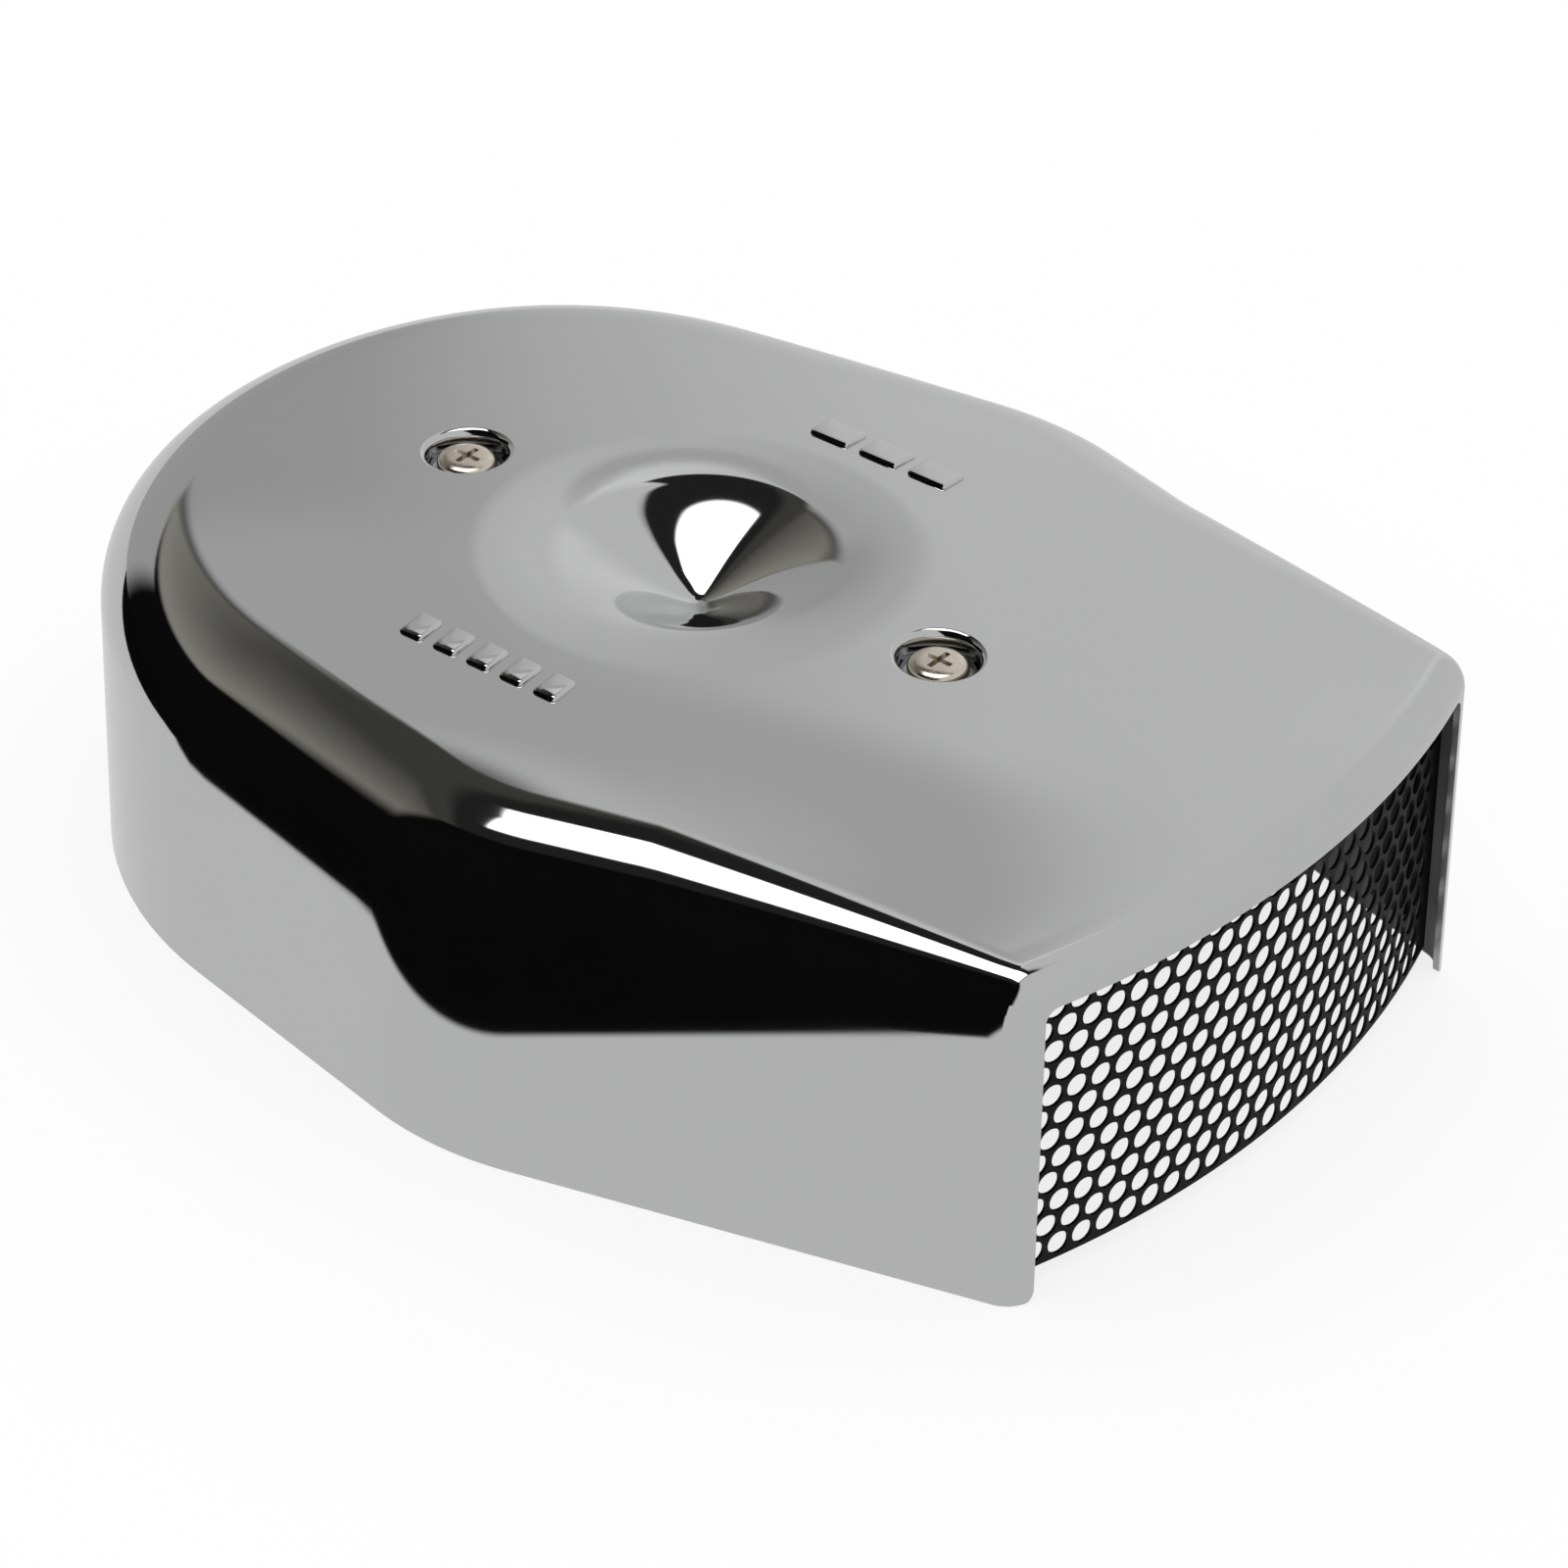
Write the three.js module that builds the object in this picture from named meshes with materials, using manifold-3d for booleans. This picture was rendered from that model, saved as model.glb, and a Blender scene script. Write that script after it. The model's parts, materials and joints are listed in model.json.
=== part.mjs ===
// Chrome air filter housing for a small V-twin engine: a stamped cover with a
// perforated intake screen, a pleated filter ring, and a backplate that bolts
// to the carburettor. Millimetres, +Z up, +X towards the intake screen.
// All pieces are drawn about the carburettor axis, then moved so that the
// origin is under the middle of the cover, on the plane of its rim.
import * as THREE from 'three';
import { mergeVertices } from 'three/addons/utils/BufferGeometryUtils.js';
import Module from 'manifold-3d';

const wasm = await Module();
wasm.setup();

// ---- driving dimensions ----
const GAP = 0.3; // clearance between touching pieces
const COVER_HEIGHT = 63.5; // rim to the edge of the top
const CROWN = 4.3; // extra height of the slightly domed top
const SHEET = 1.2; // cover sheet thickness
const END_RADIUS = 78.3; // rounded rear end, in plan
const END_X = -30.8; // its centre
const SHOULDER_X = 16.3; // where the straight sides would meet
const SHOULDER_Y = 89.3;
const SHOULDER_RADIUS = 59;
const MOUTH_X = 115.3; // sharp corner of the open front
const MOUTH_Y = 61.7;
const MOUTH_BOW = 10.2; // how far the front bulges past its corners
const MOUTH_CORNER = 6.5; // radius of the vertical front corners
const EDGE_RADIUS = 18.2; // rounding between side and top, rear part
const MOUTH_EDGE_RADIUS = 6.1; // the same at the open front
const TAPER_START_X = 49.6; // where that rounding begins to shrink
const TAPER_END_X = 111; // and where it has shrunk
// The round dish in the middle of the top: [radius, slope in degrees] from its edge to its tip.
const DISH_SLOPES = [[37, 5.5], [33, 6.5], [26.5, 9], [22.8, 18], [18, 22], [12, 25], [6, 26], [2, 20], [0, 0]];
const SCREW_X = 51.1; // cover screws, either side of the dish
const DIMPLE_RADIUS = 6.9;
const DIMPLE_DEPTH = 5;
const WINDOW_HALF_WIDTH = 57.5; // opening in the front wall
const WINDOW_LIP = 6; // height of the lip above it
const WINDOW_CORNER = 2.5;
const SCREEN_INSET = 3.6; // screen face behind the front face
const SCREEN_THICKNESS = 1;
const SCREEN_BOTTOM = 3.7;
const SCREEN_TOP_MARGIN = 3.2; // from its top edge to the edge of the cover's top
const STRIP_THICKNESS = 1.2; // strips behind the screen
const STRIP_DEPTH = 9;
const FILTER_HALF_LENGTH = 66;
const FILTER_HALF_WIDTH = 50.5;
const FILTER_WALL = 9;
const FILTER_PLEATS = 56;
const PLATE_HALF_LENGTH = 68.3;
const PLATE_HALF_WIDTH = 53;
const PLATE_THICKNESS = 2.2;
const GASKET_THICKNESS = 1.5;
const GASKET_RADIUS = 41;
const THROAT_RADIUS = 25;
const HORN_WALL = 2;
const HORN_HEIGHT = 10; // above the backplate
const BOLT_CIRCLE_RADIUS = 34;
const SCREW_RADIUS = 3.1;
const SCREW_CLEARANCE = 0.4; // between a screw and the ring or bore round it
const SCREW_ENGAGEMENT = 12.7; // length of thread in the post
const POST_RADIUS = 5;

const UP = new THREE.Vector3(0, 0, 1);

// ---- finishes ----
const finish = (color, roughness, metalness) => ({ color, roughness, metalness });
const CHROME = finish(0xd8dadc, 0.06, 1);
const BLACK_STEEL = finish(0x141414, 0.45, 0.4);
const SCREW_STEEL = finish(0xb8afa2, 0.25, 1);
const ALUMINIUM = finish(0xb4b6b8, 0.4, 1);
const RUBBER = finish(0x1a1a1a, 0.8, 0);
const SEAL = finish(0x2e3136, 0.7, 0);
const PAPER = finish(0xc9a45c, 0.9, 0);
const FIBRE = finish(0x5a5348, 0.9, 0);
const WIRE = finish(0x9a9c9e, 0.4, 1);

const housing = new THREE.Group();

function addMesh(parent, name, geometry, look) {
  const mesh = new THREE.Mesh(geometry, new THREE.MeshStandardMaterial(look));
  mesh.name = name;
  parent.add(mesh);
  return mesh;
}

// ---- solids for cutting and joining ----
function toSolid(geometry) {
  const bare = geometry.clone();
  bare.deleteAttribute('normal');
  bare.deleteAttribute('uv');
  const merged = mergeVertices(bare, 1e-4);
  const vertProperties = new Float32Array(merged.attributes.position.array);
  const triVerts = new Uint32Array(merged.index.array);
  return new wasm.Manifold(new wasm.Mesh({ numProp: 3, vertProperties, triVerts }));
}

function toGeometry(solid) {
  const mesh = solid.getMesh();
  const geometry = new THREE.BufferGeometry();
  geometry.setAttribute('position', new THREE.BufferAttribute(mesh.vertProperties, 3));
  geometry.setIndex(new THREE.BufferAttribute(mesh.triVerts, 1));
  return geometry;
}

// A round post along Z between two heights.
function post(x, y, low, high, radius, segments = 24) {
  const geometry = new THREE.CylinderGeometry(radius, radius, high - low, segments);
  geometry.rotateX(Math.PI / 2);
  geometry.translate(x, y, (low + high) / 2);
  return geometry;
}

// A turned ring or cup: [radius, height] points, closed on themselves or on the axis.
function turned(profile, segments = 32) {
  const points = profile.map(([radius, height]) => new THREE.Vector2(radius, height));
  const geometry = new THREE.LatheGeometry(points, segments);
  geometry.rotateX(Math.PI / 2);
  return geometry;
}

function washer(innerRadius, outerRadius, low, high, segments = 32) {
  return turned(
    [
      [innerRadius, low],
      [outerRadius, low],
      [outerRadius, high],
      [innerRadius, high],
      [innerRadius, low],
    ],
    segments,
  );
}

function slab(shape, low, high, curveSegments = 16) {
  const options = { depth: high - low, bevelEnabled: false, curveSegments };
  const geometry = new THREE.ExtrudeGeometry(shape, options);
  geometry.translate(0, 0, low);
  return geometry;
}

// ---- plan outline of the cover ----
// Points run from the rear, along the +Y side, to the front; each has its outward normal.
function arcPoints(centre, radius, startAngle, endAngle, segments) {
  const points = [];
  for (let i = 0; i <= segments; i += 1) {
    const angle = startAngle + ((endAngle - startAngle) * i) / segments;
    const normal = new THREE.Vector2(Math.cos(angle), Math.sin(angle));
    points.push({ at: centre.clone().addScaledVector(normal, radius), normal });
  }
  return points;
}

// Rounds the corner between two directions, turning clockwise.
function cornerPoints(corner, arriving, leaving, radius, segments) {
  const turn = arriving.angleTo(leaving);
  const start = corner.clone().addScaledVector(arriving, -radius * Math.tan(turn / 2));
  const outward = new THREE.Vector2(-arriving.y, arriving.x);
  const centre = start.addScaledVector(outward, -radius);
  const startAngle = outward.angle();
  return arcPoints(centre, radius, startAngle, startAngle - turn, segments);
}

const frontRadius = (MOUTH_Y ** 2 + MOUTH_BOW ** 2) / (2 * MOUTH_BOW);
const frontCentre = new THREE.Vector2(MOUTH_X + MOUTH_BOW - frontRadius, 0);

function halfOutline() {
  const endCentre = new THREE.Vector2(END_X, 0);
  const shoulder = new THREE.Vector2(SHOULDER_X, SHOULDER_Y);
  const mouth = new THREE.Vector2(MOUTH_X, MOUTH_Y);
  const toShoulder = shoulder.clone().sub(endCentre);
  const tangentAngle = toShoulder.angle() + Math.acos(END_RADIUS / toShoulder.length());
  const rear = arcPoints(endCentre, END_RADIUS, Math.PI, tangentAngle, 11);
  const sideDirection = shoulder.clone().sub(rear[rear.length - 1].at).normalize();
  const taperDirection = mouth.clone().sub(shoulder).normalize();
  const shoulderArc = cornerPoints(shoulder, sideDirection, taperDirection, SHOULDER_RADIUS, 5);
  const towardsMouth = mouth.clone().sub(frontCentre);
  const frontDirection = new THREE.Vector2(towardsMouth.y, -towardsMouth.x).normalize();
  const mouthArc = cornerPoints(mouth, taperDirection, frontDirection, MOUTH_CORNER, 3);
  const frontStart = mouthArc[mouthArc.length - 1].at.clone().sub(frontCentre).angle();
  const front = arcPoints(frontCentre, frontRadius, frontStart, 0, 6).slice(1);
  const side = straightPoints(rear[rear.length - 1], shoulderArc[0], 1);
  const taper = straightPoints(shoulderArc[shoulderArc.length - 1], mouthArc[0], 4);
  return [...rear, ...side, ...shoulderArc, ...taper, ...mouthArc, ...front];
}

function straightPoints(from, to, count) {
  const points = [];
  for (let i = 1; i <= count; i += 1) {
    const at = from.at.clone().lerp(to.at, i / (count + 1));
    points.push({ at, normal: to.normal.clone() });
  }
  return points;
}

// The whole loop, clockwise from the rear.
function coverOutline() {
  const half = halfOutline();
  const mirrored = half.slice(1, -1).reverse();
  const other = mirrored.map(({ at, normal }) => ({
    at: new THREE.Vector2(at.x, -at.y),
    normal: new THREE.Vector2(normal.x, -normal.y),
  }));
  return [...half, ...other];
}

const outline = coverOutline();

function edgeRadius(x) {
  const taper = (x - TAPER_START_X) / (TAPER_END_X - TAPER_START_X);
  const t = THREE.MathUtils.clamp(taper, 0, 1);
  return THREE.MathUtils.lerp(EDGE_RADIUS, MOUTH_EDGE_RADIUS, t);
}

const vec = (x, y) => new THREE.Vector2(x, y);

// ---- section of the dish: radius and depth below the top, from its edge to its tip ----
const DISH_RADIUS = DISH_SLOPES[0][0];
const DISH_STEPS = 10;

function dishSlope(radius) {
  const next = DISH_SLOPES.findIndex(([edge]) => edge <= radius);
  if (next <= 0) return THREE.MathUtils.degToRad(DISH_SLOPES[0][1]);
  const [outerRadius, outerSlope] = DISH_SLOPES[next - 1];
  const [innerRadius, innerSlope] = DISH_SLOPES[next];
  const share = (outerRadius - radius) / (outerRadius - innerRadius);
  return THREE.MathUtils.degToRad(THREE.MathUtils.lerp(outerSlope, innerSlope, share));
}

function dishSection() {
  const points = [vec(DISH_RADIUS, 0)];
  const sums = 20;
  const step = DISH_RADIUS / (DISH_STEPS * sums);
  let depth = 0;
  for (let i = 1; i <= DISH_STEPS * sums; i += 1) {
    depth += step * Math.tan(dishSlope(DISH_RADIUS - (i - 0.5) * step));
    if (i % sums === 0) points.push(vec(DISH_RADIUS - i * step, depth));
  }
  points[points.length - 1].x = 0;
  return points;
}

const DISH_SECTION = dishSection();
const CROWN_RINGS = 3;
const FILLET_STEPS = 4;

// The crown spans the top's flat part: its middle, and its half length and half width.
const crownFront = MOUTH_X + MOUTH_BOW - MOUTH_EDGE_RADIUS;
const crownRear = END_X - END_RADIUS + EDGE_RADIUS;
const CROWN_HALF_WIDTH = 70;

// Height of the top's outer surface, apart from the dish.
function topHeight(x, y) {
  const along = (2 * x - crownFront - crownRear) / (crownFront - crownRear);
  const across = y / CROWN_HALF_WIDTH;
  return COVER_HEIGHT + CROWN * (1 - along ** 2) * (1 - across ** 2);
}

// One column of the cover's outer skin, from the rim to the dish's tip.
function skinColumn({ at, normal }, index, all) {
  const radius = edgeRadius(at.x);
  const flatEdge = at.clone().addScaledVector(normal, -radius);
  const edgeHeight = topHeight(flatEdge.x, flatEdge.y);
  const column = [new THREE.Vector3(at.x, at.y, 0)];
  for (let i = 0; i <= FILLET_STEPS; i += 1) {
    const angle = (Math.PI / 2) * (i / FILLET_STEPS);
    const inset = radius * (1 - Math.cos(angle));
    const point = at.clone().addScaledVector(normal, -inset);
    column.push(new THREE.Vector3(point.x, point.y, edgeHeight - radius + radius * Math.sin(angle)));
  }
  const angle = Math.PI * (1 - (2 * index) / all.length);
  const direction = new THREE.Vector2(Math.cos(angle), Math.sin(angle));
  const dishEdge = direction.clone().multiplyScalar(DISH_RADIUS);
  for (let i = 1; i < CROWN_RINGS; i += 1) {
    const point = flatEdge.clone().lerp(dishEdge, i / CROWN_RINGS);
    column.push(new THREE.Vector3(point.x, point.y, topHeight(point.x, point.y)));
  }
  for (const { x: distance, y: depth } of DISH_SECTION) {
    const point = direction.clone().multiplyScalar(distance);
    column.push(new THREE.Vector3(point.x, point.y, topHeight(point.x, point.y) - depth));
  }
  return column;
}

// Area-weighted normals at the skin's points.
function skinNormals(columns) {
  const count = columns.length;
  const rows = columns[0].length;
  const normals = columns.map((column) => column.map(() => new THREE.Vector3()));
  for (let c = 0; c < count; c += 1) {
    const next = (c + 1) % count;
    for (let r = 0; r < rows - 1; r += 1) {
      const across = columns[next][r + 1].clone().sub(columns[c][r]);
      const along = columns[c][r + 1].clone().sub(columns[next][r]);
      const face = across.cross(along);
      for (const [i, j] of [[c, r], [next, r], [c, r + 1], [next, r + 1]]) {
        normals[i][j].add(face);
      }
    }
  }
  return normals.map((column) => column.map((normal) => normal.normalize()));
}

// The sheet between the outer skin and the same skin moved in by the thickness.
function coverSheet() {
  const columns = outline.map(skinColumn);
  const count = columns.length;
  const rows = columns[0].length;
  const normals = skinNormals(columns);
  const sign = normals[0][0].x < 0 ? 1 : -1;
  const inner = columns.map((column, c) => column.map((point, r) => {
    if (r === rows - 1) return point.clone().addScaledVector(UP, -SHEET);
    return point.clone().addScaledVector(normals[c][r], -sign * SHEET);
  }));
  for (const column of inner) {
    column[0].z = 0;
  }
  const positions = [];
  const push = (point) => positions.push(point.x, point.y, point.z) / 3 - 1;
  const outerIndex = columns.map((column) => column.slice(0, -1).map(push));
  const innerIndex = inner.map((column) => column.slice(0, -1).map(push));
  const outerTip = push(columns[0][rows - 1]);
  const innerTip = push(inner[0][rows - 1]);
  const faces = [];
  const quad = (a, b, c, d) => faces.push(a, b, c, a, c, d);
  for (let c = 0; c < count; c += 1) {
    const next = (c + 1) % count;
    for (let r = 0; r < rows - 2; r += 1) {
      quad(outerIndex[c][r], outerIndex[c][r + 1], outerIndex[next][r + 1], outerIndex[next][r]);
      quad(innerIndex[c][r], innerIndex[next][r], innerIndex[next][r + 1], innerIndex[c][r + 1]);
    }
    faces.push(outerIndex[c][rows - 2], outerTip, outerIndex[next][rows - 2]);
    faces.push(innerIndex[c][rows - 2], innerIndex[next][rows - 2], innerTip);
    quad(outerIndex[c][0], outerIndex[next][0], innerIndex[next][0], innerIndex[c][0]);
  }
  const geometry = new THREE.BufferGeometry();
  geometry.setAttribute('position', new THREE.Float32BufferAttribute(positions, 3));
  geometry.setIndex(faces);
  return geometry;
}

// Cutter for the front window: rounded upper corners, lower corners flared out.
function windowCutter() {
  const half = WINDOW_HALF_WIDTH;
  const top = COVER_HEIGHT - WINDOW_LIP;
  const corner = WINDOW_CORNER;
  const below = -2;
  const shape = new THREE.Shape();
  shape.moveTo(-half - corner, below);
  shape.lineTo(half + corner, below);
  shape.lineTo(half + corner, 0);
  shape.quadraticCurveTo(half, 0, half, corner);
  shape.lineTo(half, top - corner);
  shape.quadraticCurveTo(half, top, half - corner, top);
  shape.lineTo(corner - half, top);
  shape.quadraticCurveTo(-half, top, -half, top - corner);
  shape.lineTo(-half, corner);
  shape.quadraticCurveTo(-half, 0, -half - corner, 0);
  const depth = 26;
  const geometry = new THREE.ExtrudeGeometry(shape, { depth, bevelEnabled: false, curveSegments: 4 });
  geometry.rotateX(Math.PI / 2);
  geometry.rotateZ(Math.PI / 2);
  geometry.translate(MOUTH_X + MOUTH_BOW + 5 - depth, 0, 0);
  return geometry;
}

// Stamped cup that takes a screw head, with its clearance hole.
function dimpleCup(x) {
  const top = topHeight(x, 0);
  const floor = top - DIMPLE_DEPTH;
  const cup = turned([
    [SCREW_RADIUS + SCREW_CLEARANCE, floor - SHEET],
    [DIMPLE_RADIUS + SHEET, floor - SHEET],
    [DIMPLE_RADIUS + SHEET, top - SHEET / 2],
    [DIMPLE_RADIUS, top - SHEET / 2],
    [DIMPLE_RADIUS, floor],
    [SCREW_RADIUS + SCREW_CLEARANCE, floor],
    [SCREW_RADIUS + SCREW_CLEARANCE, floor - SHEET],
  ], 24);
  cup.translate(x, 0, 0);
  return cup;
}

function coverShell() {
  let solid = toSolid(coverSheet()).subtract(toSolid(windowCutter()));
  for (const x of [SCREW_X, -SCREW_X]) {
    const opening = post(x, 0, topHeight(x, 0) - 4, topHeight(x, 0) + 4, DIMPLE_RADIUS);
    solid = solid.subtract(toSolid(opening)).add(toSolid(dimpleCup(x)));
  }
  return toGeometry(solid);
}

// ---- intake screen and the strips that hold it ----
// A band that follows the front's curve, between two insets.
function frontBand(nearInset, farInset, halfWidth, low, high) {
  const outer = frontRadius - nearInset;
  const inner = frontRadius - farInset;
  const outerAngle = Math.asin(halfWidth / outer);
  const innerAngle = Math.asin(halfWidth / inner);
  const shape = new THREE.Shape();
  shape.absarc(frontCentre.x, 0, outer, -outerAngle, outerAngle, false);
  shape.absarc(frontCentre.x, 0, inner, innerAngle, -innerAngle, true);
  return slab(shape, low, high, 14);
}

function sideStrip(side) {
  const along = vec(MOUTH_X - SHOULDER_X, MOUTH_Y - SHOULDER_Y).normalize();
  const outward = vec(-along.y, along.x);
  const wall = SHEET + GAP;
  const startBack = SCREEN_INSET + SCREEN_THICKNESS + 4.4;
  const corner = vec(MOUTH_X, MOUTH_Y);
  const near = corner.clone().addScaledVector(along, -startBack).addScaledVector(outward, -wall);
  const far = near.clone().addScaledVector(along, -STRIP_DEPTH);
  const shape = new THREE.Shape();
  shape.moveTo(near.x, side * near.y);
  shape.lineTo(far.x, side * far.y);
  shape.lineTo(far.x - outward.x * STRIP_THICKNESS, side * (far.y - outward.y * STRIP_THICKNESS));
  shape.lineTo(near.x - outward.x * STRIP_THICKNESS, side * (near.y - outward.y * STRIP_THICKNESS));
  return slab(shape, SCREEN_BOTTOM + 2, COVER_HEIGHT - 14);
}

// ---- filter ring ----
function stadium(halfLength, halfWidth, target = new THREE.Shape()) {
  const offset = halfLength - halfWidth;
  target.absarc(offset, 0, halfWidth, -Math.PI / 2, Math.PI / 2, false);
  target.absarc(-offset, 0, halfWidth, Math.PI / 2, Math.PI * 1.5, false);
  return target;
}

// A band that follows the filter's oval, between two insets from its outside.
function ovalRing(outerInset, innerInset, low, high) {
  const shape = stadium(FILTER_HALF_LENGTH - outerInset, FILTER_HALF_WIDTH - outerInset);
  const hole = stadium(FILTER_HALF_LENGTH - innerInset, FILTER_HALF_WIDTH - innerInset, new THREE.Path());
  shape.holes.push(hole);
  return slab(shape, low, high, 11);
}

// A point of the oval at a fraction of its length, moved in by an inset.
function ovalPoint(fraction, inset) {
  const radius = FILTER_HALF_WIDTH;
  const straight = 2 * (FILTER_HALF_LENGTH - FILTER_HALF_WIDTH);
  const arc = Math.PI * (radius - FILTER_WALL / 2);
  const half = straight + arc;
  const distance = fraction * 2 * half;
  const side = distance < half ? 1 : -1;
  const local = distance % half;
  if (local < straight) {
    return vec(side * (straight / 2 - local), side * (radius - inset));
  }
  const angle = Math.PI / 2 + (Math.PI * (local - straight)) / arc;
  const x = -straight / 2 + (radius - inset) * Math.cos(angle);
  return vec(side * x, side * (radius - inset) * Math.sin(angle));
}

function pleatedRing(low, high) {
  const outerInset = 1.4;
  const innerInset = FILTER_WALL - 1.4;
  const paper = 1;
  const loop = (shift) => {
    const points = [];
    for (let i = 0; i < 2 * FILTER_PLEATS; i += 1) {
      const inset = i % 2 === 0 ? outerInset + shift : innerInset - paper + shift;
      points.push(ovalPoint(i / (2 * FILTER_PLEATS), inset));
    }
    return points;
  };
  const shape = new THREE.Shape(loop(0));
  shape.holes.push(new THREE.Path(loop(paper)));
  return slab(shape, low, high);
}

// ---- backplate group ----
const plateLow = GASKET_THICKNESS + GAP;
const plateHigh = plateLow + PLATE_THICKNESS;

function boltPlace(index) {
  const angle = Math.PI / 2 + (index * Math.PI * 2) / 3;
  return vec(BOLT_CIRCLE_RADIUS * Math.cos(angle), BOLT_CIRCLE_RADIUS * Math.sin(angle));
}

const BOLTS = [0, 1, 2].map(boltPlace);
const BOLT_HOLE = SCREW_RADIUS + 0.3;

function holePath(x, y, radius) {
  return new THREE.Path().absarc(x, y, radius, 0, Math.PI * 2, true);
}

function backplate() {
  const shape = stadium(PLATE_HALF_LENGTH, PLATE_HALF_WIDTH);
  shape.holes.push(holePath(0, 0, THROAT_RADIUS + HORN_WALL + 0.8));
  for (const { x, y } of BOLTS) {
    shape.holes.push(holePath(x, y, BOLT_HOLE));
  }
  for (const x of [SCREW_X, -SCREW_X]) {
    shape.holes.push(holePath(x, 0, BOLT_HOLE));
  }
  return slab(shape, plateLow, plateHigh, 10);
}

function gasket() {
  const shape = new THREE.Shape().absarc(0, 0, GASKET_RADIUS, 0, Math.PI * 2, false);
  shape.holes.push(holePath(0, 0, THROAT_RADIUS));
  for (const { x, y } of BOLTS) {
    shape.holes.push(holePath(x, y, BOLT_HOLE));
  }
  return slab(shape, 0, GASKET_THICKNESS, 12);
}

// Flared ring that leads the air into the carburettor.
function airHorn() {
  const foot = THROAT_RADIUS + HORN_WALL;
  const mouth = THROAT_RADIUS + 5;
  const top = plateHigh + HORN_HEIGHT;
  return turned([
    [THROAT_RADIUS, plateLow],
    [foot, plateLow],
    [foot, plateHigh + 5],
    [foot + 1, plateHigh + 8],
    [mouth, top],
    [mouth - 1.4, top + 1.4],
    [THROAT_RADIUS + 1.2, plateHigh + 8.6],
    [THROAT_RADIUS, plateHigh + 5],
    [THROAT_RADIUS, plateLow],
  ], 32);
}

// Hexagon-head screw with its shank pointing down, head resting above a height.
function hexScrew(x, y, seat) {
  const shank = toSolid(post(x, y, GAP, seat + 1, SCREW_RADIUS - 0.1, 16));
  const head = toSolid(post(x, y, seat, seat + 4, 5.7, 6));
  return toGeometry(shank.add(head));
}

// Threaded post that carries a cover screw, its foot riveted through the plate.
function coverPost(x) {
  const top = postTop(x);
  const body = toSolid(post(x, 0, plateHigh + GAP, top, POST_RADIUS));
  const foot = toSolid(post(x, 0, plateLow + GAP, plateHigh + 1, SCREW_RADIUS, 16));
  const bore = toSolid(post(x, 0, top - SCREW_ENGAGEMENT - 4, top + 1, SCREW_RADIUS + SCREW_CLEARANCE, 16));
  return toGeometry(body.add(foot).subtract(bore));
}

const PAD_THICKNESS = 2;

// Top of a cover post: below the dimple's underside by the rubber pad.
function postTop(x) {
  return topHeight(x, 0) - DIMPLE_DEPTH - SHEET - PAD_THICKNESS - 2 * GAP;
}

// ---- cover screw with a cross recess ----
const WASHER_THICKNESS = 0.8;
const HEAD_RADIUS = 5.25;
const HEAD_HEIGHT = 2.6;

function crossRecess(x, top) {
  const blade = (length, width) => {
    const box = new THREE.BoxGeometry(length, width, 3.2);
    box.translate(x, 0, top);
    return toSolid(box);
  };
  return blade(5, 1).add(blade(1, 5));
}

function coverScrew(x) {
  const seat = topHeight(x, 0) - DIMPLE_DEPTH + WASHER_THICKNESS + 2 * GAP;
  const top = seat + HEAD_HEIGHT;
  const low = postTop(x) - SCREW_ENGAGEMENT;
  const head = turned([
    [0, seat],
    [HEAD_RADIUS, seat],
    [HEAD_RADIUS, seat + 1.5],
    [HEAD_RADIUS - 0.8, top - 0.35],
    [HEAD_RADIUS - 2.4, top],
    [0, top],
  ], 24);
  head.translate(x, 0, 0);
  const shank = toSolid(post(x, 0, low, seat + 1, SCREW_RADIUS, 16));
  return toGeometry(toSolid(head).add(shank).subtract(crossRecess(x, top)));
}

function coverWasher(x) {
  const low = topHeight(x, 0) - DIMPLE_DEPTH + GAP;
  const ring = washer(SCREW_RADIUS + SCREW_CLEARANCE, DIMPLE_RADIUS - 1, low, low + WASHER_THICKNESS, 24);
  ring.translate(x, 0, 0);
  return ring;
}

function postPad(x) {
  const low = postTop(x) + GAP;
  const ring = washer(SCREW_RADIUS + SCREW_CLEARANCE, POST_RADIUS + 0.4, low, low + PAD_THICKNESS, 24);
  ring.translate(x, 0, 0);
  return ring;
}

// ---- assembly ----
const filterLow = plateHigh + GAP;
const filterHigh = topHeight(-SCREW_X, 0) - DIMPLE_DEPTH - SHEET - GAP;
const SEAL_HEIGHT = 5;
const mediaLow = filterLow + SEAL_HEIGHT + GAP;
const mediaHigh = filterHigh - SEAL_HEIGHT - GAP;

addMesh(housing, 'carburettor_gasket', gasket(), FIBRE);
addMesh(housing, 'backplate', backplate(), ALUMINIUM);
addMesh(housing, 'air_horn', airHorn(), ALUMINIUM);
BOLTS.forEach(({ x, y }, index) => {
  const lockWasher = washer(BOLT_HOLE, 5.2, plateHigh + GAP, plateHigh + GAP + 1.2, 20);
  lockWasher.translate(x, y, 0);
  addMesh(housing, `lock_washer_${index + 1}`, lockWasher, WIRE);
  const seat = plateHigh + 1.2 + 2 * GAP;
  addMesh(housing, `carburettor_screw_${index + 1}`, hexScrew(x, y, seat), WIRE);
});

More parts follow.
